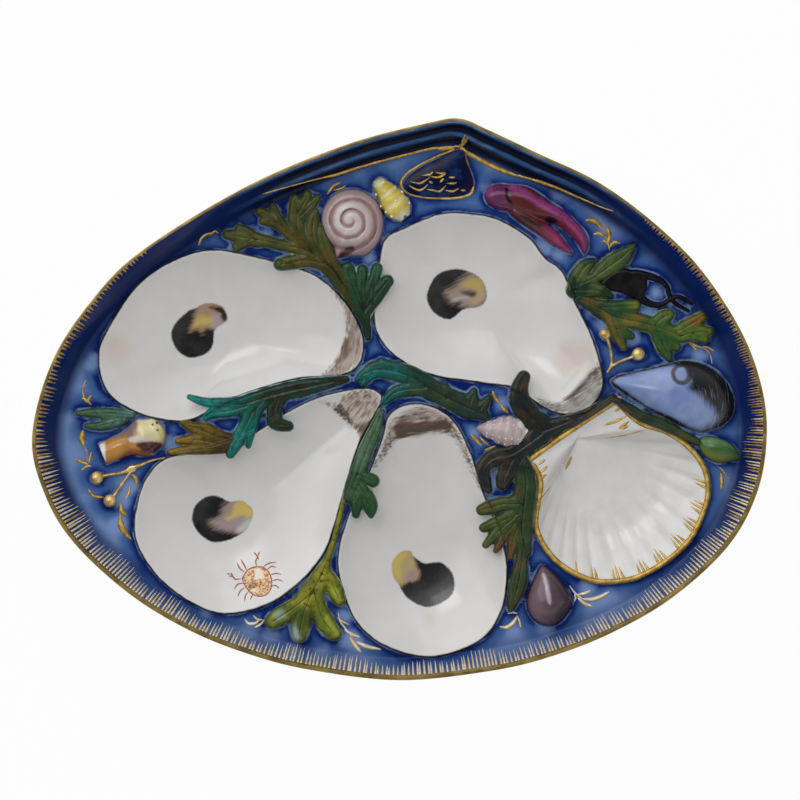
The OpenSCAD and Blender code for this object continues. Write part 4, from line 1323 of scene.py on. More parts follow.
SPRIGS = (
    ("olive_weed", "olive_glaze", LeafGlaze("olive_leaf", root="#33371d", body="#4a4c22", tip="#4a5628",
                                            shade="#26402c", pale="#9aa890"),
     (((366, 322, 4), (352, 298, 7), (338, 276, 10), (322, 260, 9), (303, 249, 8), (282, 245, 6),
       (262, 240, 7), (243, 237, 8), (226, 234, 5)), ((256, 240, 7), (247, 232, 6), (239, 228, 5)),
      ((250, 240, 6), (236, 246, 5)),
      ((304, 248, 7), (294, 238, 7), (284, 228, 7), (272, 219, 7), (260, 211, 5)),
      ((282, 226, 6), (277, 215, 5), (273, 208, 5)), ((276, 222, 6), (262, 221, 4)),
      ((312, 252, 7), (300, 236, 8), (296, 222, 9), (297, 210, 10), (295, 199, 6)),
      ((298, 212, 9), (304, 202, 7), (307, 194, 5)), ((300, 216, 8), (311, 205, 6), (317, 197, 4)),
      ((332, 268, 8), (318, 250, 8), (312, 234, 8), (313, 220, 7), (316, 211, 3)),
      ((342, 284, 8), (331, 262, 8), (324, 244, 8), (321, 229, 5)),
      ((326, 264, 7), (308, 260, 8), (292, 262, 8), (280, 264, 7)))),
    ("green_fan_weed", "dark_green_glaze",
     LeafGlaze("fan_leaf", root="#1a3324", body="#20422b", tip="#2b5536", accent="#16301f", shade="#12281c",
               pale="#a8c0b4"),
     (((368, 338, 3), (365, 320, 6), (360, 304, 10), (352, 286, 9), (348, 269, 8)),
      ((363, 308, 8), (362, 288, 6), (362, 270, 6)), ((364, 310, 8), (371, 288, 7), (377, 268, 6)),
      ((364, 312, 8), (377, 294, 8), (387, 281, 7)))),
    ("teal_centre_weed", "teal_glaze",
     LeafGlaze("teal_leaf", root="#0d615e", body="#24483a", tip="#27352f", accent="#3a4a2a", shade="#15302c",
               pale="#8fb0ac"),
     (((357, 379, 3, 0), (366, 373, 7, 0), (378, 369, 10, 0.05), (394, 371, 11, 0.15), (412, 377, 11, 0.5),
       (430, 388, 12, 0.8), (450, 399, 12, 1), (468, 407, 12, 1), (484, 415, 6, 1)),
      ((386, 368, 6, 0), (381, 360, 3, 0)), ((372, 374, 6, 0), (362, 384, 3, 0)),
      ((424, 388, 9, 0.7), (408, 389, 8, 0.4), (394, 393, 7, 0.25), (384, 402, 4, 0.1)),
      ((446, 398, 9, 1), (446, 387, 4, 1)), ((470, 404, 10, 1), (474, 391, 4, 1)),
      ((480, 410, 8, 1), (489, 398, 4, 1)))),
    ("teal_left_weed", "teal_glaze",
     LeafGlaze("sea_leaf", root="#26291b", body="#10544a", tip="#12827a", accent="#1c3a2e", shade="#0d3c38",
               pale="#a8ccd2"),
     (((346, 379, 4, 0), (322, 384, 8, 0), (298, 389, 10, 0), (276, 394, 10, 0.05), (256, 400, 10, 0.2),
       (240, 404, 9, 0.6), (222, 403, 6, 0.8), (204, 402, 5, 1), (189, 397, 3, 1)),
      ((246, 406, 9, 0.5), (228, 411, 7, 0.8), (212, 413, 6, 0.9), (205, 418, 3, 1)),
      ((254, 406, 9, 0.4), (246, 424, 8, 0.7), (237, 440, 8, 0.8), (230, 454, 5, 0.8)),
      ((256, 408, 8, 0.4), (252, 428, 5, 0.8), (248, 446, 3, 0.8)), ((262, 402, 8, 0.3), (250, 414, 9, 0.6)),
      ((278, 398, 8, 0), (274, 412, 9, 0), (276, 423, 8, 0), (288, 426, 6, 0)))),
    ("ochre_leaf", "ochre_glaze",
     LeafGlaze("ochre_leaf", root="#453717", body="#6b5a20", tip="#8a6d26", accent="#4a3a14", shade="#4a3c1c",
               pale="#b39c58"),
     (((232, 440, 6), (218, 437, 8), (204, 431, 9), (192, 427, 6), (182, 423, 3)),
      ((226, 446, 6), (206, 441, 8), (190, 440, 6), (177, 441, 3)),
      ((222, 449, 5), (204, 449, 6), (187, 450, 5), (169, 452, 3)))),
    ("green_stem_weed", "dark_green_glaze",
     LeafGlaze("stem_leaf", root="#4d6a52", body="#3a5a3c", tip="#234a2a", accent="#35502e", pale="#8aa68c"),
     (((381, 412, 4, 0), (375, 430, 7, 0), (367, 448, 8, 0), (360, 466, 8, 0.1), (353, 484, 8, 0.4),
       (347, 498, 5, 0.7)), ((356, 474, 6, 0.3), (366, 478, 7, 0.8), (373, 481, 7, 1)),
      ((358, 484, 6, 0.3), (366, 496, 8, 0.8), (370, 506, 8, 1), (371, 516, 3, 1)),
      ((353, 488, 7, 0.3), (356, 502, 7, 0.8), (356, 515, 4, 1)))),
    ("front_weed", "yellow_green_glaze",
     LeafGlaze("olive_frond", root="#7c7620", body="#6b7420", tip="#5c6c26", accent="#a69c34",
               shade="#34441e", mottle="#3a481a", mottle_share=0.9, pale="#a8b48c", patches=FRONT_PATCHES),
     (((344, 500, 2.5, 0), (340, 516, 2.5, 0), (333, 543, 3, 0), (327, 560, 4, 0.1), (321, 575, 9, 0.3),
       (311, 594, 12, 0.5)), ((312, 592, 10, 0.5), (296, 606, 9, 0.7), (281, 616, 10, 0.9), (272, 622, 8, 1)),
      ((311, 594, 9, 0.5), (304, 611, 8, 0.7), (300, 627, 10, 0.9), (299, 636, 8, 1)),
      ((314, 592, 9, 0.5), (318, 608, 9, 0.7), (325, 623, 10, 0.9), (334, 634, 8, 1)),
      ((322, 574, 7, 0.3), (330, 580, 8, 0.5), (335, 591, 9, 0.8), (339, 600, 7, 1)))),
    ("scallop_weed", "dark_green_glaze",
     LeafGlaze("shade_leaf", root="#222628", body="#2e4629", tip="#485626", accent="#64462a", shade="#1e2c24",
               pale="#7c8878"),
     (((524, 377, 7, 0), (520, 388, 9, 0), (520, 400, 11, 0), (530, 415, 12, 0), (543, 430, 13, 0),
       (530, 442, 11, 0), (512, 454, 11, 0.05), (494, 458, 10, 0.1), (484, 468, 8, 0.1), (486, 482, 6, 0.1),
       (489, 490, 4, 0.1)),
      ((546, 430, 11, 0), (562, 424, 8, 0), (582, 416, 6, 0), (600, 406, 5, 0), (613, 397, 4, 0)),
      ((613, 398, 3, 0.1), (626, 406, 5, 0.2), (642, 416, 6, 0.3), (662, 424, 6, 0.4), (682, 434, 5, 0.6),
       (698, 442, 4, 0.7)), ((512, 460, 12, 0.05), (506, 474, 10, 0.1), (503, 484, 7, 0.1)),
      ((518, 456, 9, 0.1), (524, 470, 10, 0.3), (526, 486, 12, 0.45), (523, 512, 13, 0.5),
       (522, 534, 11, 0.5), (527, 552, 5, 0.5)),
      ((522, 504, 9, 0.6), (505, 504, 8, 0.8), (492, 507, 8, 0.95), (482, 510, 6, 1)),
      ((518, 514, 9, 0.6), (502, 521, 8, 0.85), (484, 528, 5, 1)),
      ((514, 518, 8, 0.6), (499, 531, 7, 0.9), (486, 545, 4, 1.3)),
      ((516, 522, 8, 0.6), (505, 536, 6, 1.2), (496, 551, 3, 1.5)),
      ((520, 522, 8, 0.6), (513, 540, 7, 1.2), (511, 558, 3, 1.5)),
      ((524, 540, 8, 0.5), (522, 560, 7, 0.5), (519, 580, 10, 0.55), (515, 596, 8, 0.6),
       (511, 610, 3, 0.7)))),
    ("left_weed", "leaf_glaze",
     LeafGlaze("tide_leaf", root="#4a6a3a", body="#456a55", tip="#527a6c", accent="#3a5a4a", pale="#8fb0a8"),
     (((77, 413, 3), (90, 413, 5), (104, 413, 6), (118, 414, 6), (131, 415, 4)),
      ((86, 426, 3), (97, 426, 5), (107, 424, 6), (120, 421, 6)), ((104, 416, 5), (122, 419, 5)))),
    ("right_leaves", "leaf_glaze",
     LeafGlaze("broad_leaf", root="#1a3322", body="#274328", tip="#40562c", accent="#5c6a2a", pale="#8fa070"),
     (((594, 278, 4, 0.8), (603, 271, 9, 0.9), (614, 263, 11, 1), (624, 256, 9, 1), (631, 249, 5, 1),
       (635, 245, 2, 1)), ((575, 290, 8, 0), (578, 277, 9, 0), (585, 267, 8, 0.1), (593, 261, 4, 0.2)),
      ((574, 290, 8, 0), (585, 290, 9, 0), (598, 290, 8, 0.1), (612, 296, 3, 0.2)),
      ((580, 284, 8, 0), (594, 278, 6, 0.4)))),
    ("right_spray", "leaf_glaze",
     LeafGlaze("spray_leaf", root="#1b382a", body="#2b4e29", tip="#546a27", accent="#86621f", pale="#8fae6c"),
     (((580, 298, 5, 0), (592, 304, 8, 0), (604, 310, 10, 0.2), (618, 317, 10, 0.4), (637, 321, 9, 0.6),
       (656, 326, 9, 0.7), (670, 331, 8, 0.8), (684, 336, 6, 0.9)),
      ((600, 306, 7, 0.1), (614, 307, 7, 0.5), (627, 306, 7, 0.8), (636, 305, 6, 1)),
      ((656, 324, 8, 0.7), (664, 317, 8, 0.9), (670, 314, 6, 1)),
      ((676, 332, 6, 0.9), (690, 325, 8, 1.3), (702, 317, 6, 1.6)),
      ((680, 336, 7, 0.9), (694, 332, 9, 1.1), (710, 331, 5, 1.2)), ((694, 334, 7, 1), (706, 339, 5, 1.2)),
      ((612, 318, 8, 0.3), (618, 332, 8, 0.5), (624, 347, 4, 0.6)),
      ((618, 328, 7, 0.4), (632, 336, 4, 0.6)),
      ((658, 330, 8, 0.6), (664, 345, 9, 0.7), (670, 358, 4, 0.7)),
      ((664, 340, 7, 0.6), (677, 347, 5, 0.8)))),
)


@dataclass(frozen=True)
class ClawGlaze(Finish):
    """Crimson claw, purple at the wrist, with painted pink highlights along its upper edges."""

    wrist: str = "#682a58"
    hand: str = "#5f242c"
    finger: str = "#7c2c4c"
    speck: str = "#3a1420"
    brink: str = "#2c1238"
    drift: float = 0.25

    def colour(self, wire: Wiring) -> Socket:
        """Run from the purple wrist to crimson fingers, with a dark edge."""
        cloud = wire.noise(1.6, 5.0)
        across = wire.frayed("across", cloud, 0.3)
        tone = wire.frayed("tone", cloud, 0.3)
        skin = wire.mix(wire.ramp(tone, 0.1, 0.35), self.wrist, self.hand)
        skin = wire.mix(wire.ramp(tone, 0.5, 0.9), skin, self.finger)
        skin = self.painted(wire, skin, cloud)
        speck = wire.ramp(wire.noise(0.5, 3.0), 0.52, 0.7, 0.0, 0.5)
        skin = wire.mix(speck, skin, self.speck)
        return wire.mix(wire.ramp(across, 0.88, 1.1, 0.0, 0.8), skin, self.brink)


@dataclass(frozen=True)
class EggCaseGlaze(Finish):
    """Black gloss of the egg case."""

    black: str = "#101012"
    thin: str = "#1f1c1a"

    def colour(self, wire: Wiring) -> Socket:
        """Warm the black a little where it lies thin."""
        return wire.mix(wire.ramp(wire.noise(3.0), 0.4, 0.7), self.black, self.thin)


@dataclass
class Dome:
    """A domed shell or leaf on the field, lofted in from its outline."""

    name: str
    node: str
    slot: str
    layout: Layout
    outline_px: Spots
    middle_px: tuple[float, float]
    finish: Finish
    tall: float
    hem: float = 0.3 * MM
    power: float = 2.2
    crown: float = 0.75
    steps: int = 10
    rows: int = 26

    def __post_init__(self) -> None:
        """Lay out the outline."""
        self.ring = self.layout.ring(self.outline_px, self.steps)
        self.middle = self.layout.spots([self.middle_px])[0]

    def footprint(self) -> Footprint:
        """Give what it covers of the field."""
        return Footprint(ring=self.ring)

    def height(self, spots: np.ndarray, share: float) -> np.ndarray | float:
        """Give the dome's height at a share of the way out."""
        return self.hem + (self.tall - self.hem) * (1 - share ** self.power) ** self.crown

    def build(self) -> Piece:
        """Make the dome and keep how far each spot lies inside its outline."""
        floor = self.layout.floor
        loft = Loft(raise_ring(self.ring, floor - BEDDED)).cap_first()
        loft.to(raise_ring(self.ring, floor + self.hem))
        for share in 1 - np.linspace(0, 1, self.rows)[1:-1] ** 1.5:
            spots = self.middle + (self.ring - self.middle) * share
            loft.to(raise_ring(spots, floor + self.height(spots, share)))
        loft.gather((*self.middle, floor + float(np.max(self.height(self.middle[None, :], 0.0)))))
        piece = add_piece(self.name, loft.mesh, self.finish, self.slot, self.node)
        spots = corners(piece)[:, :2]
        paint(piece, "inside", -outline_distance(spots, self.ring) / MM)
        self.dress(piece, spots)
        return piece

    def dress(self, piece: Piece, spots: np.ndarray) -> None:
        """Keep any painted values of the piece's own."""


@dataclass(frozen=True)
class SnailGlaze(Finish):
    """Pale mauve whorls with a brown line in their groove."""

    cream: str = "#c6beb7"
    mauve: str = "#ab9392"
    hollow: str = "#93696f"
    line: str = "#5f3b40"
    mouth: str = "#4b2a2a"
    brink: str = "#3f3a5e"

    def colour(self, wire: Wiring) -> Socket:
        """Fade from the mauve outer turn to the cream middle, and draw the groove."""
        cloud = wire.noise(2.0, 4.0)
        out = wire.frayed("out", cloud, 0.2)
        shell = wire.mix(wire.ramp(out, 0.3, 0.95), self.cream, self.mauve)
        groove = wire.frayed("groove", cloud, 0.14)
        shell = wire.mix(wire.ramp(groove, 0.5, 1.0, 0.0, 0.8), shell, self.hollow)
        crease = wire.frayed("crease", cloud, 0.1)
        broken = wire.times(wire.ramp(crease, 0.84, 1.0, 0.0, 0.85), wire.ramp(wire.noise(5.0), 0.35, 0.6))
        shell = wire.mix(broken, shell, self.line)
        mouth = wire.frayed("mouth", cloud, 0.6)
        shell = wire.mix(wire.ramp(mouth, -0.4, 0.5, 1.0, 0.0), shell, self.mouth)
        return wire.mix(wire.ramp(wire.paint("inside"), 0.1, 0.7, 0.7, 0.0), shell, self.brink)


@dataclass
class Snail(Dome):
    """The moon snail, whose one groove winds up its dome."""

    spiral_px: tuple[float, float] = (350.2, 221)
    pitch_px: float = 11.5
    groove_deep: float = 0.55 * MM
    mouth_px: Spots = ((338, 257), (344, 249), (352, 246), (354, 250), (348, 255))
    rows: int = 60
    steps: int = 14

    def winding(self, spots: np.ndarray, lead: float = 0.0) -> tuple[np.ndarray, np.ndarray]:
        """Give each spot's share of the way out, and how near it is to the groove."""
        away = (spots - self.layout.spots([self.spiral_px])) / self.layout.span(1.0)
        out = np.linalg.norm(away, axis=1)
        phase = out / self.pitch_px + np.arctan2(away[:, 1], away[:, 0]) / TURN + 0.8 - lead
        return out / 33, (1 + np.cos(TURN * phase)) / 2 * smooth(out / 4)

    def height(self, spots: np.ndarray, share: float) -> np.ndarray:
        """Press the groove into the dome."""
        groove = self.winding(spots)[1]
        dome = Dome.height(self, spots, share)
        return dome - self.groove_deep * groove ** 2 * smooth((1 - share) / 0.12)

    def dress(self, piece: Piece, spots: np.ndarray) -> None:
        """Keep the winding and the mouth."""
        out, groove = self.winding(spots)
        paint(piece, "out", out)
        paint(piece, "groove", groove)
        paint(piece, "crease", self.winding(spots, 0.1)[1])
        paint(piece, "mouth", self.layout.outside(spots, self.mouth_px))


@dataclass(frozen=True)
class MusselGlaze(Finish):
    """Periwinkle nacre inside a black edge, with growth lines round the beak."""

    nacre: str = "#7186b6"
    nacre_pale: str = "#889ac8"
    black: str = "#141519"
    line: str = "#8d93a2"
    eye: str = "#15171c"
    brink: str = "#8d8f98"

    def colour(self, wire: Wiring) -> Socket:
        """Draw the black edge, the eye and the growth lines over the nacre."""
        cloud = wire.noise(1.6, 4.0)
        lines = wire.add("ShaderNodeCombineXYZ", {0: wire.times(wire.paint("growth"), 2.4),
                                                  1: wire.times(wire.paint("round"), 0.16)})
        strands = wire.add("ShaderNodeTexNoise", {"Vector": lines.outputs[0], "Scale": 1.0,
                                                  "Detail": 4.0}).outputs["Fac"]
        nacre = wire.mix(wire.ramp(wire.noise(7.0), 0.35, 0.65), self.nacre, self.nacre_pale)
        dark = wire.mix(wire.ramp(strands, 0.55, 0.72, 0.0, 0.6), self.black, self.line)
        right = wire.ramp(wire.paint("right"), 0.5, 0.75, 0.3, 5.0)
        reach = wire.times(wire.math("SUBTRACT", strands, 0.5), right)
        edge = wire.math("ADD", wire.frayed("nacre", cloud, 0.3), reach)
        broad = wire.ramp(wire.paint("right"), 0.5, 0.75, 0.4, 1.4)
        edge = wire.math("DIVIDE", edge, broad)
        shell = wire.mix(wire.ramp(edge, -1.0, 1.2), nacre, dark)
        shell = self.painted(wire, shell, cloud)
        eye = wire.frayed("eye", cloud, 0.4)
        ring = wire.math("ABSOLUTE", wire.math("SUBTRACT", eye, 2.6))
        shell = wire.mix(wire.ramp(ring, 0.3, 1.0, 0.95, 0.0), shell, self.eye)
        inside = wire.frayed("inside", cloud, 0.3)
        return wire.mix(wire.ramp(inside, 0.1, 0.35, 0.7, 0.0), shell, self.brink)


@dataclass
class Mussel(Dome):
    """The mussel, whose growth lines are drawn round its beak."""

    eye_px: tuple[float, float] = (682.5, 374)
    growth_px: tuple[float, float] = (662, 402)
    nacre_px: Spots = (
        (615.5, 380.3), (631, 374.2), (662, 367.5), (676, 365), (690, 368), (694, 380), (688, 388),
        (697, 394), (706, 402), (713, 410), (717, 418), (709, 427), (697, 429.3), (675, 418), (649, 406.6),
        (631, 394.3), (619, 385.6))

    def dress(self, piece: Piece, spots: np.ndarray) -> None:
        """Keep the distance from the beak, and the way along the shell."""
        for name, spot in (("eye", self.eye_px), ("growth", self.growth_px)):
            paint(piece, name, np.linalg.norm(spots - self.layout.spots([spot]), axis=1) / MM)
        away = spots - self.layout.spots([self.growth_px])
        paint(piece, "round", np.arctan2(away[:, 1], away[:, 0]) * self.layout.span(60) / MM)
        self.finish.keep(piece, self.layout)
        paint(piece, "nacre", self.layout.outside(spots, self.nacre_px))
        reach = self.ring[:, 0].max() - self.ring[:, 0].min()
        paint(piece, "right", (spots[:, 0] - self.ring[:, 0].min()) / reach)


@dataclass(frozen=True)
class PlumGlaze(Finish):
    """Mauve shell, darker to one side, with a pale painted highlight streak."""

    mauve: str = "#6e5762"
    dark: str = "#40303a"
    highlight_streak: str = "#c9c0cc"
    brink: str = "#2a1f2c"

    def colour(self, wire: Wiring) -> Socket:
        """Shade across the shell, lay the painted highlight streak, and draw the inner line."""
        cloud = wire.noise(2.0, 4.0)
        side = wire.frayed("side", cloud, 0.25)
        shell = wire.mix(wire.ramp(side, -0.6, 0.6), self.mauve, self.dark)
        inside = wire.frayed("inside", cloud, 0.35)
        highlight_streak = wire.frayed("highlight_streak", cloud, 0.3)
        shell = wire.mix(wire.ramp(highlight_streak, -0.4, 0.6, 0.7, 0.0), shell, self.highlight_streak)
        return wire.mix(wire.ramp(inside, 0.2, 1.1, 0.9, 0.0), shell, self.brink)


@dataclass
class PlumShell(Dome):
    """The purple shell."""

    streak_px: Spots = ((543, 575), (546, 577), (550, 592), (551, 603), (548, 602), (546, 590))

    def dress(self, piece: Piece, spots: np.ndarray) -> None:
        """Keep the way across the shell, and its painted highlight streak."""
        paint(piece, "side", (spots[:, 0] - self.middle[0]) / self.layout.span(23))
        paint(piece, "highlight_streak", self.layout.outside(spots, self.streak_px))


@dataclass(frozen=True)
class NavyGlaze(Finish):
    """Dark blue of the little clam, paler in patches."""

    navy: str = "#080f30"
    mid: str = "#1b3368"

    def colour(self, wire: Wiring) -> Socket:
        """Cloud the navy with mid blue."""
        patch = wire.ramp(wire.noise(4.0, 4.0), 0.45, 0.7)
        return wire.mix(patch, self.navy, self.mid)


@dataclass(frozen=True)
class PodGlaze(Finish):
    """A green pod with a painted highlight along its upper edge, olive below."""

    olive: str = "#6a6f26"
    green: str = "#37602c"
    pale: str = "#5c8a58"
    brink: str = "#173022"

    def colour(self, wire: Wiring) -> Socket:
        """Shade across the pod, olive below and with a painted highlight above."""
        side = wire.frayed("side", wire.noise(2.0, 4.0), 0.4)
        pod = wire.mix(wire.ramp(side, -0.8, 0.1), self.olive, self.green)
        # Painted highlight on the pod's upper side.
        pod = wire.mix(wire.ramp(side, 0.25, 0.8), pod, self.pale)
        return wire.mix(wire.ramp(wire.paint("inside"), 0.1, 0.8, 0.7, 0.0), pod, self.brink)


@dataclass
class PodLeaf(Dome):
    """The pod leaf."""

    def dress(self, piece: Piece, spots: np.ndarray) -> None:
        """Keep the way across the pod."""
        slant = (spots - self.middle) @ np.array([0.35, 0.94])
        paint(piece, "side", slant / self.layout.span(12))


@dataclass(frozen=True)
class WhelkGlaze(Finish):
    """Bands of colour along a spired shell, from its tip to its mouth."""

    tip: str = "#b9bf98"
    spire: str = "#c9b445"
    waist: str = "#d6c560"
    mouth: str = "#d8cf9a"
    line: str = "#e6dcb6"
    foot: str = "#6a5f22"
    bead: str = "#e9e6de"

    def colour(self, wire: Wiring) -> Socket:
        """Shade along the axis, with a line in each suture, and painted shade low on the shell."""
        cloud = wire.noise(1.3, 4.0)
        along = wire.frayed("along", cloud, 0.12)
        shell = wire.mix(wire.ramp(along, 0.0, 0.25), self.tip, self.spire)
        shell = wire.mix(wire.ramp(along, 0.4, 0.62), shell, self.waist)
        shell = wire.mix(wire.ramp(along, 0.82, 0.95), shell, self.mouth)
        suture = wire.frayed("suture", cloud, 0.2)
        shell = wire.mix(wire.ramp(suture, 0.6, 0.95, 0.0, 0.5), shell, self.line)
        shell = self.painted(wire, shell, cloud)
        # Painted shade: darker low on the shell, where it curves down to the field.
        shell = wire.mix(wire.ramp(wire.paint("high"), 0.05, 0.9, 0.8, 0.0), shell, self.foot)
        return wire.mix(wire.paint("bead"), shell, self.bead)


@dataclass
class Whelk:
    """A spired shell that lies on the field, half sunk, with beads round its whorls."""

    name: str
    node: str
    slot: str
    layout: Layout
    axis_px: Spots
    radius: float
    profile: Spots
    whorls: float
    finish: Finish
    beads: Spots = ()
    bead_size: float = 0.4 * MM
    swell: float = 0.05
    sides: int = 40
    rows: int = 44

    def __post_init__(self) -> None:
        """Lay out the axis and the outline that it covers."""
        self.tip, end = self.layout.spots(self.axis_px)
        self.run = end - self.tip
        self.long = float(np.linalg.norm(self.run))
        self.way = self.run / self.long
        self.side = np.array([-self.way[1], self.way[0]])
        shares, wide = np.transpose(self.profile)
        spine = self.tip + np.outer(shares, self.run)
        reach = np.outer(wide * self.radius, self.side)
        self.cover = np.vstack([spine + reach, (spine - reach)[::-1]])

    def footprint(self) -> Footprint:
        """Give what it covers of the field."""
        return Footprint(ring=self.cover)

    def wide_at(self, share: float) -> float:
        """Give the radius at a share of the way along, with its whorls swelling."""
        plain = float(np.interp(share, *np.transpose(self.profile)))
        return self.radius * plain * (1 + self.swell * math.cos(TURN * share * self.whorls))

    def build(self) -> Piece:
        """Spin the shell about its axis, cut it at the field and set its beads."""
        floor = self.layout.floor
        turns = np.linspace(0, TURN, self.sides, endpoint=False)
        loft = None
        for share in np.linspace(0, 1, self.rows):
            wide = self.wide_at(share)
            flat = self.tip + self.run * share + np.outer(np.cos(turns) * wide, self.side)
            ring = raise_ring(flat, floor + np.sin(turns) * wide)
            marks = {"along": share, "suture": (1 - math.cos(TURN * share * self.whorls)) / 2, "bead": 0.0}
            loft = loft.to(ring, **marks) if loft else Loft(ring, **marks).cap_first()
        loft.cap_last()
        for share, turn in self.beads:
            wide = self.wide_at(share)
            spot = self.tip + self.run * share + self.side * math.cos(math.radians(turn)) * wide
            made = bmesh.ops.create_icosphere(loft.mesh, subdivisions=2, radius=self.bead_size)
            bmesh.ops.translate(loft.mesh, verts=made["verts"],
                                vec=(*spot, floor + math.sin(math.radians(turn)) * wide))
            layer = loft.mesh.verts.layers.float["bead"]
            for vert in made["verts"]:
                vert[layer] = 1.0
        cut_below(loft.mesh, floor - BEDDED)
        piece = add_piece(self.name, loft.mesh, self.finish, self.slot, self.node)
        paint(piece, "high", (corners(piece)[:, 2] - floor) / MM)
        self.finish.keep(piece, self.layout)
        return piece


class Brush:
    """Lays thin raised strokes on a piece, each dropped on to its surface from above."""

    def __init__(self, layout: Layout, host: Piece, raised: float = 0.09 * MM) -> None:
        """Load the brush over a host piece."""
        self.layout = layout
        self.raised = raised
        self.tree = BVHTree.FromObject(host, bpy.context.evaluated_depsgraph_get())
        self.mesh = bmesh.new()

    def drop(self, spot: np.ndarray) -> tuple[Vector, Vector] | None:
        """Find the surface under a spot and the way that it faces."""
        place, facing = self.tree.ray_cast(Vector((*spot, 1.0)), Vector((0, 0, -1)))[:2]
        if place is None:
            return None
        return place, facing if facing.z > 0 else -facing

    def stroke(self, spots: np.ndarray, widths: np.ndarray) -> None:
        """Lay one stroke through spots, each with its width."""
        found = [self.drop(spot) for spot in spots]
        if None in found or len(found) < 2:
            return
        places = np.array([place for place, facing in found])
        ways = np.gradient(places, axis=0)
        rings = []
        for (place, facing), way, wide in zip(found, ways, widths):
            across = Vector(way).cross(facing).normalized() * (max(wide, 0.03 * MM) / 2)
            high = facing * self.raised * min(1.0, wide / (0.25 * MM))
            rings.append([place + across, place + high, place - across, place - facing * self.raised])
        Loft(rings[0], self.mesh).cap_first().through(rings[1:]).cap_last()

    def leaf(self, stroke_px: Spots, wide_px: float, steps: int = 5) -> None:
        """Lay a pointed stroke along pixels, widest in its middle."""
        samples = self.layout.spots(curve(stroke_px, steps, False))
        share = np.linspace(0, 1, len(samples))
        self.stroke(samples, self.layout.span(wide_px) * np.sin(np.clip(share, 0.04, 0.96) * math.pi) ** 0.7)

    def line(self, stroke_px: Spots, wide_px: float, end_px: float, steps: int = 8) -> None:
        """Lay a line along pixels that runs from one width to another, with fine ends."""
        samples = self.layout.spots(curve(stroke_px, steps, False))
        share = np.linspace(0, 1, len(samples))
        ends = np.minimum(smooth(share / 0.06 + 0.25), smooth((1 - share) / 0.06 + 0.25))
        self.stroke(samples, self.layout.span(wide_px + (end_px - wide_px) * share) * ends)

    def done(self, name: str, finish: Finish, slot: str) -> Piece:
        """Finish the strokes as one piece."""
        return add_piece(name, self.mesh, finish, slot)


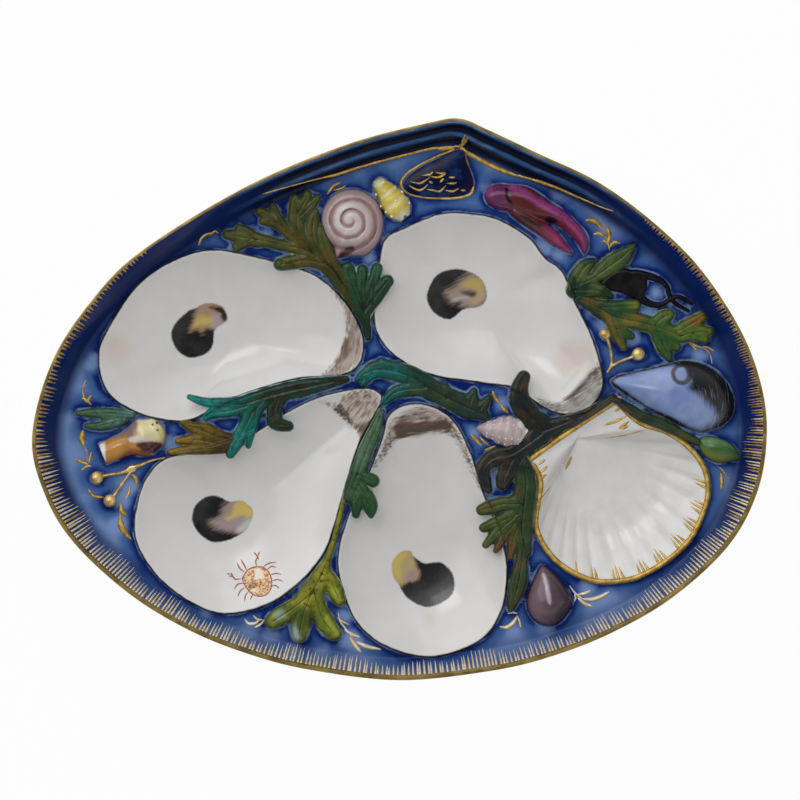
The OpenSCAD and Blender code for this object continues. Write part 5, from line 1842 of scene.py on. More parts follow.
class Gilding:
    """The gold that is painted on: edge ticks, the hinge line, leaf sprigs and the streaks on the shells."""

    tick_pitch, tick_left_pitch, tick_right_pitch, tick_share = 1.15 * MM, 1.35 * MM, 0.85 * MM, 0.62
    tick_from, tick_steps, tick_samples = 12, 40, 16
    tick_long = (0.8, 1.6, 2.2, 3.2, 5.0, 5.3, 4.4, 3.8, 3.4, 4.4, 3.0, 4.4, 3.3, 3.6, 4.2, 4.5, 4.6, 4.4,
                 2.6, 2.0, 1.6, 0.8)
    hinge_px = (
        ((461, 146), (435, 148), (411, 153.5), (387, 159.5), (363, 166), (338.5, 173.5), (314, 179.5),
         (290, 186), (262, 194)),
        ((461, 147), (477, 157), (498, 168), (521, 176), (551, 185), (579, 197), (602, 207), (614, 211)))
    hinge_wide = (6.5, 1.6)
    knot_px = (((461, 147), (463, 141), (465, 135)), ((461, 147), (465, 142), (468, 137)))
    leaf_share, front_px = 1.2, 560
    leaves_px = (
        (((198, 245), (201, 238), (207, 234), (213, 233)), 4), (((209, 235), (214, 231), (218, 233)), 2),
        (((327, 194), (333, 186), (340, 182)), 3), (((333, 190), (341, 188), (346, 185)), 2.5),
        (((85.5, 379.5), (81.7, 388), (82.5, 396), (85, 402.5)), 1.8),
        (((80.7, 398), (85, 400), (90.5, 405)), 3), (((90.5, 395), (88, 398), (87, 402)), 2.2),
        (((82.5, 430), (80.5, 438), (83, 446)), 5.5), (((83, 446), (86, 453), (86, 462)), 1.4),
        (((74, 458.5), (80, 462), (87.5, 464.5)), 3.2), (((90.5, 452.5), (89, 458), (87.5, 463)), 2.6),
        (((80, 470.5), (85, 467), (90.5, 466)), 2.2), (((87.5, 489.5), (93, 496.5), (102.5, 497.5)), 3.2),
        (((129, 486.5), (128, 493), (124.5, 500)), 2.2), (((120, 504), (121, 511), (126, 516)), 4),
        (((119, 510), (120, 520), (124, 530), (131, 540)), 1.4),
        (((119, 517), (121, 528), (130.5, 540)), 5.5),
        (((586, 220), (592, 220), (598, 223), (603, 229)), 5),
        (((606, 224), (609, 230), (610, 237), (608, 243)), 4), (((594, 234), (600, 233), (606, 237)), 3),
        (((603, 241), (606, 241), (609, 245)), 2), (((621, 243), (615, 242), (610, 247)), 3),
        (((603, 229), (608, 240), (610, 250)), 1.6), (((681, 342), (690, 342), (698, 346), (706, 348)), 2),
        (((704, 347), (711, 354), (713, 364)), 1.6), (((690, 343), (696, 348), (698, 353)), 2),
        (((704, 346), (710, 348), (715, 351)), 2), (((718, 466), (724, 471), (731, 480)), 1.6),
        (((722, 473), (723, 482), (722, 489)), 3.2), (((570, 586), (576, 594), (584, 600)), 1.8),
        (((582, 599), (592, 600), (602, 597), (610, 592)), 4), (((578, 598), (585, 604), (593, 607)), 3.5),
        (((578, 595), (585, 594), (591, 591)), 3), (((575, 594), (576, 598), (575, 602)), 1.8),
        (((500, 627), (507, 628), (514, 623), (518, 616)), 4), (((518, 617), (520, 622), (521, 628)), 2),
        (((508, 614), (513, 613), (518, 614)), 1.6),
        (((338, 613), (340, 622), (346, 630), (353, 639)), 1.8),
        (((337, 618), (342, 622), (349, 625)), 1.8), (((344, 630), (352, 635), (360, 638)), 3),
        (((350, 638), (355, 646), (361, 653)), 4), (((356, 642), (366, 647), (381, 650)), 4),
        (((244, 619), (248, 624), (254, 624), (260, 620)), 3), (((253, 616), (257, 620), (262, 620)), 2),
        (((254, 628), (260, 625), (264, 620)), 2), (((493, 391), (495, 397), (499, 403)), 4),
        (((501, 404), (504, 409), (509, 413)), 3.5), (((471, 434), (476, 440), (482, 446)), 3.5),
        (((480, 437), (485, 442), (490, 446)), 2.5), (((485, 450), (491, 448), (496, 446)), 2),
        (((131, 474), (135, 479), (136, 485)), 4))
    clam_line_px = (
        (455, 149), (451, 150.5), (430.5, 159), (411, 170), (402.5, 178.5), (401.5, 185.5), (409, 193),
        (423, 196.5), (447.5, 198), (463, 196.5), (472, 192), (472.5, 182), (468, 166), (463.5, 153),
        (461, 147))
    clam_hinge_px = ((460, 144), (462, 150), (465, 158), (469, 170), (471, 178))
    clam_waves_px = (
        ((422, 175), (430, 174), (433, 171)), ((436, 172), (441, 173), (446, 172)),
        ((430, 176), (438, 177), (443, 175), (446, 173)), ((410, 181), (419, 183), (424, 181), (430, 177)),
        ((429, 181), (433, 183)), ((440, 182), (444, 178)), ((449, 177), (455, 177)),
        ((447, 183), (454, 183), (457, 182)), ((409, 185), (414, 188), (419, 190), (424, 188), (428, 184)),
        ((427, 189), (433, 190), (440, 191), (446, 185)), ((446, 190), (453, 191), (459, 188)),
        ((461, 190), (466, 190)))
    ear_px = (
        ((540, 473), (544, 470), (548.5, 465.5)), ((541, 479), (546.5, 474.5)),
        ((539.5, 500), (545, 494.5), (551, 487)), ((566, 470), (569.5, 463), (572.5, 456)),
        ((604, 425.5), (616, 421.5), (627.5, 416)), ((619, 428.5), (624, 425.5), (629.5, 421.5)),
        ((606, 438.5), (624, 435.5), (648, 429.5)), ((538.5, 465), (545.5, 459.5)),
        ((621, 429), (629.5, 426)), ((615, 411.5), (620, 409)))
    rib_ticks_px = (
        (706, 465), (704, 482), (699.5, 507), (692, 524.5), (679.5, 542), (661, 558), (643.5, 569),
        (618.5, 575.5), (592.5, 575.5), (572.5, 568))
    rib_tick_long, rib_tick_gap, rib_tick_wide, rib_tick_out = 18.0, 4.2, 3.0, 0.38
    rib_tick_taper = ((0.0, 0.25, 0.5, 0.75, 1.0), (0.9, 1.0, 0.8, 0.5, 0.12))

    def __init__(self, layout: Layout) -> None:
        """Mix the pale gold of the front, whitened as a painted highlight, and the warmer gold of the shells.
        """
        self.layout = layout
        self.bright = FiredGold("lit_pale_gold", light="#fff3d8", deep="#e4c88c", metal=0.15, grain=2.0)
        self.shell_gold = FiredGold("shell_gold", light="#e8c468", deep="#b48a34", metal=0.35, grain=1.5)

    def edge_ticks(self, plate: Plate, body: Piece) -> None:
        """Draw the fine strokes in from the edge, in swelling groups."""
        brushes = {finish: Brush(self.layout, body, 0.12 * MM) for finish in (self.bright, self.shell_gold)}
        ring = self.layout.spots(curve(Plate.outline_px, self.tick_steps, True))
        gilt = plate.gilt_reach() if plate.turns_left else plate.gilt_reach()[::-1]
        count = len(ring)
        step = np.linalg.norm(np.roll(ring, -1, axis=0) - ring, axis=1)
        gone = np.concatenate([[0.0], np.cumsum(np.concatenate([step, step]))])
        places = np.arange(len(self.tick_long)) + self.tick_from
        way, number = gone[self.tick_from * self.tick_steps], 0
        while way < gone[int(places[-1]) * self.tick_steps]:
            at = int(np.searchsorted(gone, way))
            spot, along = ring[at % count], ring[(at + 4) % count] - ring[(at - 4) % count]
            inward = np.array([-along[1], along[0]]) / np.linalg.norm(along)
            inward = inward * -np.sign(inward @ spot) - 0.3 * spot / np.linalg.norm(spot)
            swell = 1 + 0.2 * math.sin(number * 0.37) + 0.1 * math.sin(number * 2.4)
            long = float(np.interp(at / self.tick_steps, places, self.tick_long)) * MM * swell
            start = gilt[(at * plate.steps) // self.tick_steps % len(gilt)] - 0.1 * MM
            reaches = np.linspace(start, start + long, self.tick_samples)
            path = spot + np.outer(reaches, inward / np.linalg.norm(inward))
            front = float(smooth((10 * MM - spot[1]) / (60 * MM)))
            side = self.tick_left_pitch if spot[0] < 0 else self.tick_right_pitch
            pitch = side + (self.tick_pitch - side) * front
            taper = 1 - np.linspace(0.0, 0.97, self.tick_samples) ** 1.6
            # Ticks along the front take the pale gold, whitened as a painted highlight; along the sides the
            # warmer gold.
            finish = self.bright if front > 0.5 + 0.4 * math.sin(number * 1.7) else self.shell_gold
            brushes[finish].stroke(path, pitch * self.tick_share * taper)
            way += pitch
            number += 1
        brushes[self.bright].done("gold_edge_ticks", self.bright, "gilding")
        brushes[self.shell_gold].done("gold_side_ticks", self.shell_gold, "gilding")

    def field_work(self, body: Piece) -> None:
        """Draw the hinge line and the leaf sprigs."""
        brush = Brush(self.layout, body, 0.2 * MM)
        for path in self.hinge_px:
            brush.line(path, *self.hinge_wide, steps=30)
        for path in self.knot_px:
            brush.leaf(path, 3)
        brush.done("gold_hinge_line", self.shell_gold, "gilding")
        sprays = {finish: Brush(self.layout, body) for finish in (self.bright, self.shell_gold)}
        for path, wide in self.leaves_px:
            # Sprigs along the front take the same pale gold with its painted highlight.
            finish = self.bright if path[0][1] > self.front_px else self.shell_gold
            sprays[finish].leaf(path, wide * self.leaf_share)
        sprays[self.bright].done("gold_front_sprigs", self.bright, "gilding")
        sprays[self.shell_gold].done("gold_leaf_sprigs", self.shell_gold, "gilding")

    def clam_work(self, clam: Piece) -> None:
        """Draw the little clam's waves; its outline lies on the field round it."""
        brush = Brush(self.layout, clam)
        for path in self.clam_waves_px:
            brush.leaf(path, 2.3)
        brush.done("gold_clam_waves", self.shell_gold, "gilding")

    def clam_outline(self, body: Piece) -> None:
        """Draw the gold line round the little clam."""
        brush = Brush(self.layout, body, 0.2 * MM)
        brush.line(self.clam_line_px, 2.6, 3.2, 10)
        brush.leaf(self.clam_hinge_px, 5.0)
        brush.done("gold_clam_line", self.shell_gold, "gilding")

    def scallop_work(self, scallop: Scallop, piece: Piece) -> None:
        """Gild the scallop's rim, the streaks on its ears and three ticks at each rib's end."""
        rim = Brush(self.layout, piece)
        inner = grown(scallop.ring, -scallop.lip_wide * 0.5)
        rim.stroke(np.vstack([inner, inner[:1]]), np.full(len(inner) + 1, 1.6 * MM))
        rim.done("gold_scallop_rim", self.shell_gold, "gilding")
        brush = Brush(self.layout, piece, 0.15 * MM)
        for path in self.ear_px:
            brush.leaf(path, 3.0, 12)
        fan = np.array(scallop.fan_px)
        shares = np.linspace(0, 1, 17)
        taper = self.layout.span(self.rib_tick_wide) * np.interp(shares, *self.rib_tick_taper)
        for middle in np.array(self.rib_ticks_px):
            inward = (fan - middle) / np.linalg.norm(fan - middle)
            aside = np.array([-inward[1], inward[0]]) * self.rib_tick_gap
            for side in (-1, 0, 1):
                reach = (1 - 0.2 * abs(side)) * shares - self.rib_tick_out
                path = middle + np.outer(reach * self.rib_tick_long, inward)
                path += np.outer(1 - 0.5 * reach, aside * side)
                brush.stroke(self.layout.spots(path), taper)
        brush.done("gold_scallop_ticks", self.shell_gold, "gilding")


@dataclass(frozen=True)
class RedEnamel(Finish):
    """The thin red line of the little crab."""

    deep: str = "#96432c"
    light: str = "#c4714c"

    def colour(self, wire: Wiring) -> Socket:
        """Vary the red as a brush does."""
        return wire.mix(wire.ramp(wire.noise(1.0, 4.0), 0.35, 0.65), self.deep, self.light)


@dataclass(frozen=True)
class CrabGlaze(Finish):
    """The little crab's back: orange with a white blaze and red speckles."""

    orange: str = "#d6ac76"
    pale: str = "#e6cda2"
    blaze: str = "#ecdccf"
    speck: str = "#a03c26"

    def colour(self, wire: Wiring) -> Socket:
        """Fade the orange to the white blaze, and speckle it."""
        cloud = wire.noise(1.0, 4.0)
        back = wire.mix(wire.ramp(cloud, 0.35, 0.6), self.orange, self.pale)
        blaze = wire.frayed("blaze", cloud, 0.5)
        back = wire.mix(wire.ramp(blaze, -0.3, 0.5, 1.0, 0.0), back, self.blaze)
        speck = wire.ramp(wire.noise(0.6, 2.0), 0.5, 0.58, 0.0, 0.85)
        speck = wire.times(speck, wire.ramp(wire.paint("blaze"), 0.0, 0.4))
        return wire.mix(speck, back, self.speck)


class Crab:
    """The small red crab that is painted in the lower left well."""

    body_px = ((242, 580), (246, 572), (253, 568), (262, 568), (268, 573), (271, 581), (270, 590), (264, 596),
               (255, 596), (248, 591))
    back_rows = ((1.0, -0.05), (0.98, 0.06), (0.85, 0.14), (0.65, 0.17), (0.4, 0.18), (0.18, 0.19))
    blaze_px = ((256, 570), (261, 572), (262, 578), (257, 584), (255, 592), (251, 590), (254, 580))
    limbs_px = (
        ((241, 579), (235, 580), (232, 577), (229, 575)), ((232, 577), (230, 573)),
        ((229, 575), (226, 574)), ((234, 579), (231, 577), (228, 577)),
        ((258, 561), (256.5, 557), (254, 554)), ((256, 568), (255, 562), (257, 557)),
        ((257, 557), (253, 553)), ((257, 557), (259, 552)), ((246, 571), (243, 565), (240, 560)),
        ((244, 573), (239, 569), (236, 563)), ((243, 584), (237, 585), (233, 591)),
        ((245, 588), (240, 591), (237, 598)), ((248, 592), (245, 596), (244, 602)),
        ((252, 595), (250, 600)), ((262, 568), (268, 564), (276, 563)),
        ((266, 571), (271, 567), (276, 568)), ((269, 576), (275, 574), (281, 575)),
        ((271, 582), (277, 580), (283, 582)), ((270, 587), (275, 586), (279, 589)))

    def __init__(self, layout: Layout) -> None:
        """Take the layout."""
        self.layout = layout

    def build(self, well: Piece) -> None:
        """Lay the back as a thin pat of enamel, and draw its line, limbs and claws."""
        ring = self.layout.ring(self.body_px, 8)
        under = Brush(self.layout, well)
        middle = ring.mean(axis=0)
        loft = None
        for share, lift in self.back_rows:
            spots = middle + (ring - middle) * share
            points = np.array([under.drop(spot)[0] for spot in spots])
            points[:, 2] += lift * MM
            loft = loft.to(points) if loft else Loft(points).cap_first()
        loft.cap_last()
        under.mesh.free()
        back = add_piece("crab_back", loft.mesh, CrabGlaze("crab_back"), "orange_glaze")
        paint(back, "blaze", self.layout.outside(corners(back)[:, :2], self.blaze_px))
        brush = Brush(self.layout, well, 0.16 * MM)
        brush.line((*self.body_px, self.body_px[0], self.body_px[1]), 1.5, 1.5)
        for path in self.limbs_px:
            brush.leaf(path, 1.5)
        brush.done("crab_lines", RedEnamel("red_enamel"), "crimson_glaze")


@dataclass
class Berries:
    """Gold beads on fine stems."""

    name: str
    node: str
    layout: Layout
    ground: Ground
    beads_px: Spots
    stems_px: Sequence[Spots]
    gold: FiredGold
    lift: float = 0.9 * MM
    squat: float = 0.85

    def footprint(self) -> Footprint:
        """Give what the beads cover of the field."""
        return Footprint(lobes=Lobes(self.layout, [((x, y, r), (x + 1, y, r)) for x, y, r in self.beads_px]))

    def build(self) -> Piece:
        """Melt the stems together and set the beads on them."""
        stems = Sprig(self.name, self.node, "gilt_glaze", self.layout, self.ground, self.stems_px, self.gold,
                      tall=1.1 * MM, grain=0.15 * MM, shoulder=0.5 * MM, rib_deep=0.0, melt=0.2 * MM)
        mesh = stems.shape()
        for x, y, size in self.beads_px:
            made = bmesh.ops.create_uvsphere(mesh, u_segments=28, v_segments=18,
                                             radius=self.layout.span(size))
            spot = self.layout.spots([(x, y)])[0]
            bmesh.ops.scale(mesh, verts=made["verts"], vec=(1, 1, self.squat))
            bmesh.ops.translate(mesh, verts=made["verts"], vec=(*spot, self.layout.floor + self.lift))
        cut_below(mesh, self.layout.floor - BEDDED)
        return add_piece(self.name, mesh, self.gold, "gilt_glaze", self.node)


class Lamp(Enum):
    """The studio's soft boxes: place, aim, size and power."""

    KEY = ((-0.55, 0.75, 0.85), (0.0, 0.0, 0.01), 1.8, 13.0)
    SPARK = ((-0.25, 0.45, 1.1), (0.0, 0.0, 0.01), 0.3, 1.0)
    FILL = ((0.7, -0.5, 0.9), (0.0, 0.0, 0.01), 1.6, 2.6)


@dataclass
class Studio:
    """The floor, the soft light and the camera straight above."""

    layout: Layout
    picture_px: float = 800.0
    high: float = 3.0
    sensor: float = 36.0
    floor_size: float = 3.0

    def build(self) -> None:
        """Set up everything that isn't the plate."""
        self.floor()
        self.world()
        for lamp in Lamp:
            self.lamp(lamp)
        self.camera()

    def floor(self) -> None:
        """Lay a white floor that keeps the plate's shadow."""
        mesh = bmesh.new()
        bmesh.ops.create_grid(mesh, x_segments=2, y_segments=2, size=self.floor_size)
        data = bpy.data.meshes.new("studio_floor")
        mesh.to_mesh(data)
        mesh.free()
        white = bpy.data.materials.new("studio_white")
        white.use_nodes = True
        wire = Wiring(white.node_tree)
        shader = white.node_tree.nodes["Principled BSDF"]
        shader.inputs["Base Color"].default_value = srgb("#f4f4f4")
        shader.inputs["Roughness"].default_value = 0.9
        shader.inputs["Specular IOR Level"].default_value = 0.0
        glow = wire.add("ShaderNodeEmission", {"Color": (1, 1, 1, 1), "Strength": 1.0})
        path = wire.add("ShaderNodeLightPath")
        seen = wire.math("MAXIMUM", path.outputs["Is Camera Ray"], path.outputs["Is Glossy Ray"])
        seen = wire.math("MAXIMUM", seen, path.outputs["Is Transmission Ray"])
        share = wire.times(seen, 0.95)
        both = wire.add("ShaderNodeMixShader", {0: share, 1: shader.outputs[0], 2: glow.outputs[0]})
        out = white.node_tree.nodes["Material Output"]
        wire.link(both.outputs[0], out.inputs["Surface"])
        data.materials.append(white)
        floor = bpy.data.objects.new("studio_floor", data)
        bpy.context.scene.collection.objects.link(floor)

    def world(self) -> None:
        """Light the room evenly, bright at the walls and dim overhead."""
        room = bpy.data.worlds.new("studio_room")
        bpy.context.scene.world = room
        room.use_nodes = True
        wire = Wiring(room.node_tree)
        way = wire.add("ShaderNodeSeparateXYZ", {0: wire.add("ShaderNodeTexCoord").outputs["Generated"]})
        rise = wire.ramp(way.outputs["Z"], 0.0, 0.4, 0.16, 0.55)
        level = wire.times(rise, wire.ramp(way.outputs["Z"], 0.55, 0.93, 1.0, 0.25))
        back = room.node_tree.nodes["Background"]
        back.inputs["Color"].default_value = (1, 1, 1, 1)
        wire.link(level, back.inputs["Strength"])

    def lamp(self, lamp: Lamp) -> None:
        """Hang one soft box."""
        spot, aim, size, power = lamp.value
        data = bpy.data.lights.new("soft_box_" + lamp.name.lower(), "AREA")
        data.size = size
        data.energy = power
        box = bpy.data.objects.new(data.name, data)
        box.location = spot
        box.rotation_euler = (Vector(aim) - Vector(spot)).to_track_quat("-Z", "Y").to_euler()
        bpy.context.scene.collection.objects.link(box)

    def camera(self) -> None:
        """Look straight down through a long lens, with the plate as large as in the photograph."""
        data = bpy.data.cameras.new("above")
        view = self.layout.width * self.picture_px / self.layout.reach_px[0]
        data.sensor_width = self.sensor
        data.lens = self.sensor * (self.high - self.layout.rim) / view
        data.clip_end = 20.0
        camera = bpy.data.objects.new("above", data)
        shift = self.picture_px / 2 - self.layout.middle_px[0]
        camera.location = (self.layout.span(shift), -self.layout.span(shift), self.high)
        bpy.context.scene.collection.objects.link(camera)
        bpy.context.scene.camera = camera


SNAIL_PX = (
    (384, 222), (378, 202), (362, 190), (345, 189), (329, 198), (321, 215), (324, 235), (333, 247),
    (336, 257), (350, 256), (366, 255), (379, 242))
MUSSEL_PX = (
    (736, 402), (728, 382), (712, 367), (690, 360), (668, 363), (640, 370), (618, 375), (610, 382),
    (620, 391), (640, 404), (660, 416), (685, 428), (702, 433), (722, 427), (733, 417))
MUSSEL_PATCHES = (
    Patch("crown", (
        (684, 361), (700, 361), (712, 368), (718, 380), (708, 385), (699, 386), (691, 383), (693, 376),
        (691, 369), (686, 366)), "#1a1b20", 0.6, 0.9),
    Patch("curl", ((686, 368), (690, 371), (690, 377), (685, 380), (687, 375)), "#3a3f4e", 0.5, 0.5))
PLUM_PX = (
    (573, 604), (567, 587), (556, 574), (546, 566), (540, 566), (533, 580), (528, 594), (527, 608),
    (534, 621), (548, 627), (562, 622))
CLAM_PX = (
    (461, 149), (436, 159), (414, 171), (403, 184), (410, 193), (432, 197), (458, 195), (472, 188),
    (473, 178), (467, 162))
POD_PX = (
    (742, 459), (738, 450), (728, 441), (712, 436), (701, 438), (699, 446), (706, 457), (718, 463),
    (732, 462))
CLAW_PX = (
    ((491, 195, 6.5, 0), (497, 196, 12, 0), (504, 197, 13.5, 0.1)),
    ((512, 198, 14, 0.3), (524, 201, 15, 0.4), (538, 208, 13, 0.5), (550, 212.5, 10, 0.6),
     (560, 217, 8.5, 0.75), (569, 224, 7.5, 0.85), (579, 234, 7, 1), (584, 243, 5.5, 1), (585, 252, 2, 1)),
    ((515, 211, 6, 0.4), (526, 217, 8, 0.5), (536, 223.5, 8, 0.6), (546, 231, 7.5, 0.75),
     (556, 239.5, 7, 0.9), (566, 248, 4, 1), (572, 252, 1.5, 1)))
CLAW_PATCHES = (
    Patch("palm", (
        (512, 190), (523, 196), (540, 207), (553, 213), (551, 219), (543, 221), (530, 216), (519, 210),
        (512, 200)), "#5c2224", 1.0, 0.8),
    # Painted highlights: pink bands along the upper edges of the claw and of the lower finger, and a pink
    # spot on the wrist.
    Patch("crest_highlight", (
        (509, 183), (521, 187), (542, 199), (553, 205), (564, 210), (575, 220), (585, 232), (589, 242),
        (587, 250), (583, 243), (576, 231), (566, 220), (553, 213), (540, 207), (524, 196), (511, 190)),
          "#94407a", 0.9, 1.0),
    Patch("finger", ((546, 224), (553, 227), (566, 242), (573, 252), (566, 249), (555, 238), (545, 231)),
          "#963c64", 0.9, 0.8),
    Patch("glow", ((487, 190), (491, 187), (494, 191), (491, 196), (487, 196)), "#94407c", 0.8, 0.5),
    Patch("joint", ((505.5, 187), (509, 190.5), (509.5, 197), (515, 206), (509, 203), (505.5, 196)),
          "#190c14", 0.35, 0.3),
    Patch("slot", (
        (519.6, 214), (526, 216), (534, 221), (540.5, 224.5), (537, 226), (528, 222),
        (521, 217.5)), "#2a1414",
          0.4, 0.4),
    Patch("fork", ((547, 217), (554, 217), (558, 221), (552, 223), (546, 221)), "#1c1026", 0.4, 0.4))
EGG_CASE_PX = (
    ((603, 283, 3), (613, 281.5, 9), (624, 280.5, 12.5), (635, 284, 13)),
    ((636, 274, 5), (648, 275.5, 4), (660, 279.5, 3.2), (667.5, 286, 2.6), (670, 294.5, 2.4),
     (676, 303, 2.2), (689, 310.5, 1.8)),
    ((637, 294, 5), (646, 301, 4), (655, 304.5, 3.2), (664, 303.5, 2.6), (671.5, 298.5, 2.4),
     (680, 296.5, 2.2), (692.5, 303.5, 1.8)))
YELLOW_PROFILE = (
    (0, 0.25), (0.05, 0.45), (0.15, 0.58), (0.34, 0.8), (0.55, 0.97), (0.7, 1), (0.85, 0.85), (0.95, 0.55),
    (1, 0.4))
PINK_PATCHES = (
    Patch("blobs", ((518, 423), (527, 424), (534, 433), (530, 442), (519, 442), (524, 433)), "#ece9e4", 0.5,
          0.5),)
YELLOW_PATCHES = (
    Patch("olive", ((372, 186), (379, 194), (383, 206), (390, 216), (386, 218), (377, 207), (371, 194)),
          "#8a7d2c", 0.6, 0.6),
    Patch("mouth", (
        (405.6, 212.4), (410.5, 216), (409.5, 221.5), (404.5, 223), (400.8, 219.5),
        (401.5, 214.5)), "#d9d6cc",
          0.35, 0.2),
    # Painted shade: the dark hole in the whelk's mouth.
    Patch("hole_shade", ((403.5, 216), (406.5, 214.5), (407.5, 217.5), (405, 220)), "#5c5648", 0.3, 0.2))
PINK_PROFILE = (
    (0, 0.12), (0.12, 0.42), (0.32, 0.72), (0.52, 1), (0.72, 0.98), (0.86, 0.72), (0.92, 0.42), (1, 0.3))
ORANGE_PROFILE = (
    (0, 0.2), (0.04, 0.5), (0.12, 0.8), (0.3, 1), (0.45, 0.86), (0.6, 0.65), (0.75, 0.57), (0.9, 0.54),
    (1, 0.58))
ORANGE_PATCHES = (
    Patch("belly", ((125, 452), (140, 450), (150, 452), (146, 458), (130, 460), (117, 463)), "#8a4a1e", 1.0,
          0.6),
    Patch("mauve", ((124, 430), (131, 420), (137, 416), (139, 424), (136, 432), (128, 438)), "#8c7077", 0.6,
          0.6),
    Patch("cream", (
        (136, 418), (146, 414), (157, 418), (165, 425), (169, 434), (165, 440), (157, 444), (149, 441),
        (143, 440), (138, 433), (137, 424)), "#d9cf9f", 0.7, 0.6),
    Patch("ochre", (
        (160, 421), (166, 427), (169.5, 434), (166, 441), (162, 443), (164, 436), (163, 429), (158, 424)),
          "#a8843a", 0.5, 0.4),
    Patch("white", ((128, 438), (138, 436), (149, 437), (148, 441), (138, 442), (130, 442)), "#c9c6c4", 0.5,
          0.4),
    Patch("maroon", ((136, 444), (146, 442), (156, 442), (162, 444), (160, 449), (153, 453), (142, 451)),
          "#4a1f24", 0.5, 0.5),
    Patch("speck_a", ((155, 421.5), (158, 422), (157.5, 424), (155.5, 423.8)), "#2a2420", 0.2, 0.1),
    Patch("speck_b", ((151, 423.5), (153.4, 423.8), (153, 426), (151.2, 425.6)), "#2a2420", 0.2, 0.1),
    Patch("speck_c", ((156, 429), (158.2, 429.4), (157.8, 431.6), (156, 431)), "#2a2420", 0.2, 0.1),
    Patch("lip", ((99, 441), (104, 441), (104.5, 467), (100, 468)), "#ded9cf", 0.3, 0.2))
YELLOW_BEADS = ((0.36, 25), (0.53, 25), (0.8, 28), (0.25, 150), (0.5, 152), (0.66, 150), (0.8, 140),
                (0.14, 60), (0.14, 110), (0.32, 92), (0.6, 80))
PINK_BEADS = tuple((share, turn) for share in (0.2, 0.32, 0.44, 0.56, 0.68, 0.8)
                   for turn in (35, 62, 118, 145))


def sprigs(layout: Layout, ground: Ground) -> list[Sprig]:
    """Lay out the weed, the claw and the egg case."""
    weed = [Sprig("frond_" + node, node, slot, layout, ground, runs, finish)
            for node, slot, finish, runs in SPRIGS]
    claw = Sprig("claw", "crab_claw", "crimson_glaze", layout, ground, CLAW_PX,
                 ClawGlaze("claw_glaze", patches=CLAW_PATCHES),
                 tall=4 * MM, shoulder=3 * MM, flat_share=0.25, rib_deep=0.0, melt=0.25 * MM)
    case = Sprig("egg_purse", "egg_case", "black_glaze", layout, ground, EGG_CASE_PX,
                 EggCaseGlaze("egg_case_glaze", shine=0.15, coat=0.0), tall=1.4 * MM, shoulder=1.2 * MM,
                 flat_share=0.85, rib_deep=0.0, melt=0.3 * MM, grain=0.2 * MM)
    return [*weed, claw, case]


def shells(layout: Layout) -> list[Dome | Whelk]:
    """Lay out the shells in relief."""
    return [
        Snail("moon_snail_shell", "moon_snail", "mauve_glaze", layout, SNAIL_PX, (352, 222),
              SnailGlaze("snail_glaze"), 6 * MM),
        Mussel("mussel", "mussel_shell", "periwinkle_glaze", layout, MUSSEL_PX, (680, 396),
               MusselGlaze("mussel_glaze", patches=MUSSEL_PATCHES), 5 * MM),
        PlumShell("plum_shell", "purple_shell", "purple_glaze", layout, PLUM_PX, (550, 600),
                  PlumGlaze("plum_glaze"), 5.5 * MM),
        Dome("navy_clam", "little_clam", "navy_glaze", layout, CLAM_PX, (442, 180),
             NavyGlaze("clam_navy", shine=0.12, coat=0.0), 1.2 * MM),
        PodLeaf("green_pod", "pod_leaf", "leaf_glaze", layout, POD_PX, (719, 450), PodGlaze("pod_glaze"),
                3 * MM),
        Whelk("whelk_yellow", "yellow_whelk", "yellow_glaze", layout, ((376, 179), (405.6, 217.6)), 4.25 * MM,
              YELLOW_PROFILE, 4.0, WhelkGlaze("yellow_whelk_glaze", patches=YELLOW_PATCHES),
              beads=YELLOW_BEADS),
        Whelk("cone_pink", "pink_cone_shell", "pink_glaze", layout, ((477, 428), (530, 434)), 4.6 * MM,
              PINK_PROFILE, 5.0,
              WhelkGlaze("pink_cone_glaze", tip="#a8979a", spire="#b7a5a8", waist="#bba9ab",
                         mouth="#dedad6", line="#a08e94", foot="#574650", patches=PINK_PATCHES),
              beads=PINK_BEADS, bead_size=0.24 * MM),
        Whelk("whelk_orange", "orange_whelk", "orange_glaze", layout, ((164, 429.4), (101.6, 454)), 5.7 * MM,
              ORANGE_PROFILE, 2.4,
              WhelkGlaze("orange_whelk_glaze", patches=ORANGE_PATCHES, tip="#c79a50", spire="#c08c40",
                         waist="#b5803a", mouth="#b8803a", line="#9a6a34", foot="#5a3418")),
    ]


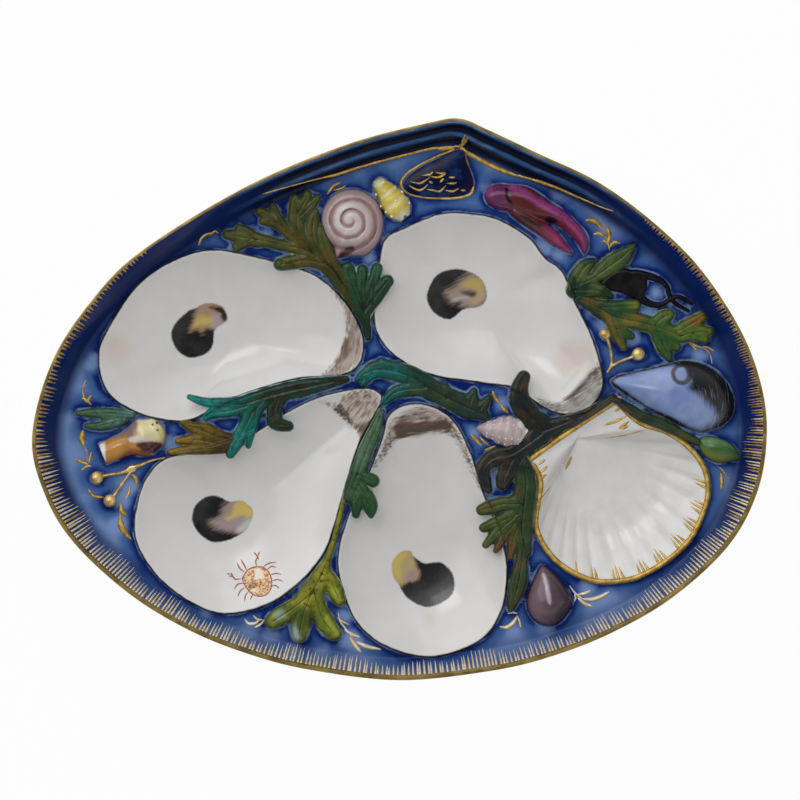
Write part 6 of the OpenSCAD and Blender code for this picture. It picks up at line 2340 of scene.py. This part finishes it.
def main() -> None:
    """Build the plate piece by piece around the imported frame."""
    logging.basicConfig(level=logging.INFO, format="%(message)s")
    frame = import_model()
    LOG.info("frame with %d nodes", len(frame["nodes"]))
    bpy.context.scene.view_settings.view_transform = "Standard"
    layout = Layout.from_frame()
    gold = FiredGold("fired_gold")
    bead_gold = FiredGold("bead_gold", light="#e8cf8f", deep="#b08a48", metal=0.5, grain=2.0)
    wells = [Well(layout=layout, **values) for values in OYSTER_WELLS]
    scallop = Scallop(layout)
    ground = Ground(layout, [item.ring for item in (*wells, scallop)])
    weed = sprigs(layout, ground)
    shell = shells(layout)
    berries = [
        Berries("gold_berries_right", "gilt_berries_right", layout, ground,
                ((606, 334, 5.6), (639, 354, 6.5)),
                (((606, 334, 2.5), (610, 345, 1.6), (612, 356, 1.6), (612, 365, 1.6), (608, 372, 1.4)),
                 ((639, 354, 2.5), (630, 358, 1.6), (622, 361, 1.6), (612, 366, 1.6))), bead_gold),
        Berries("gold_berries_left", "gilt_berries_left", layout, ground, ((96, 478, 6.4), (109, 501, 6.4)),
                (((96, 478, 2.5), (108, 475, 1.6), (120, 473, 1.6), (132, 469, 3.6)),
                 ((109, 501, 2.5), (116, 492, 1.6), (122, 483, 1.6), (130, 472, 1.6)),
                 ((130, 469, 3.6), (138, 466, 2), (150, 461, 1.2), (163, 458, 0.9))), bead_gold)]
    relief = [item.footprint() for item in (*wells, scallop, *weed, *shell, *berries)]
    plate = Plate(layout)
    body = plate.build([*wells, scallop], relief, gold)
    well_pieces = {well.name: well.build() for well in wells}
    scallop_piece = scallop.build()
    for sprig in weed:
        sprig.build()
    made = {item.name: item.build() for item in shell}
    for bunch in berries:
        bunch.build()
    gilding = Gilding(layout)
    gilding.edge_ticks(plate, body)
    gilding.field_work(body)
    gilding.clam_work(made["navy_clam"])
    gilding.clam_outline(body)
    gilding.scallop_work(scallop, scallop_piece)
    Crab(layout).build(well_pieces["lower_left"])
    Studio(layout).build()


if __name__ == "__main__":
    main()
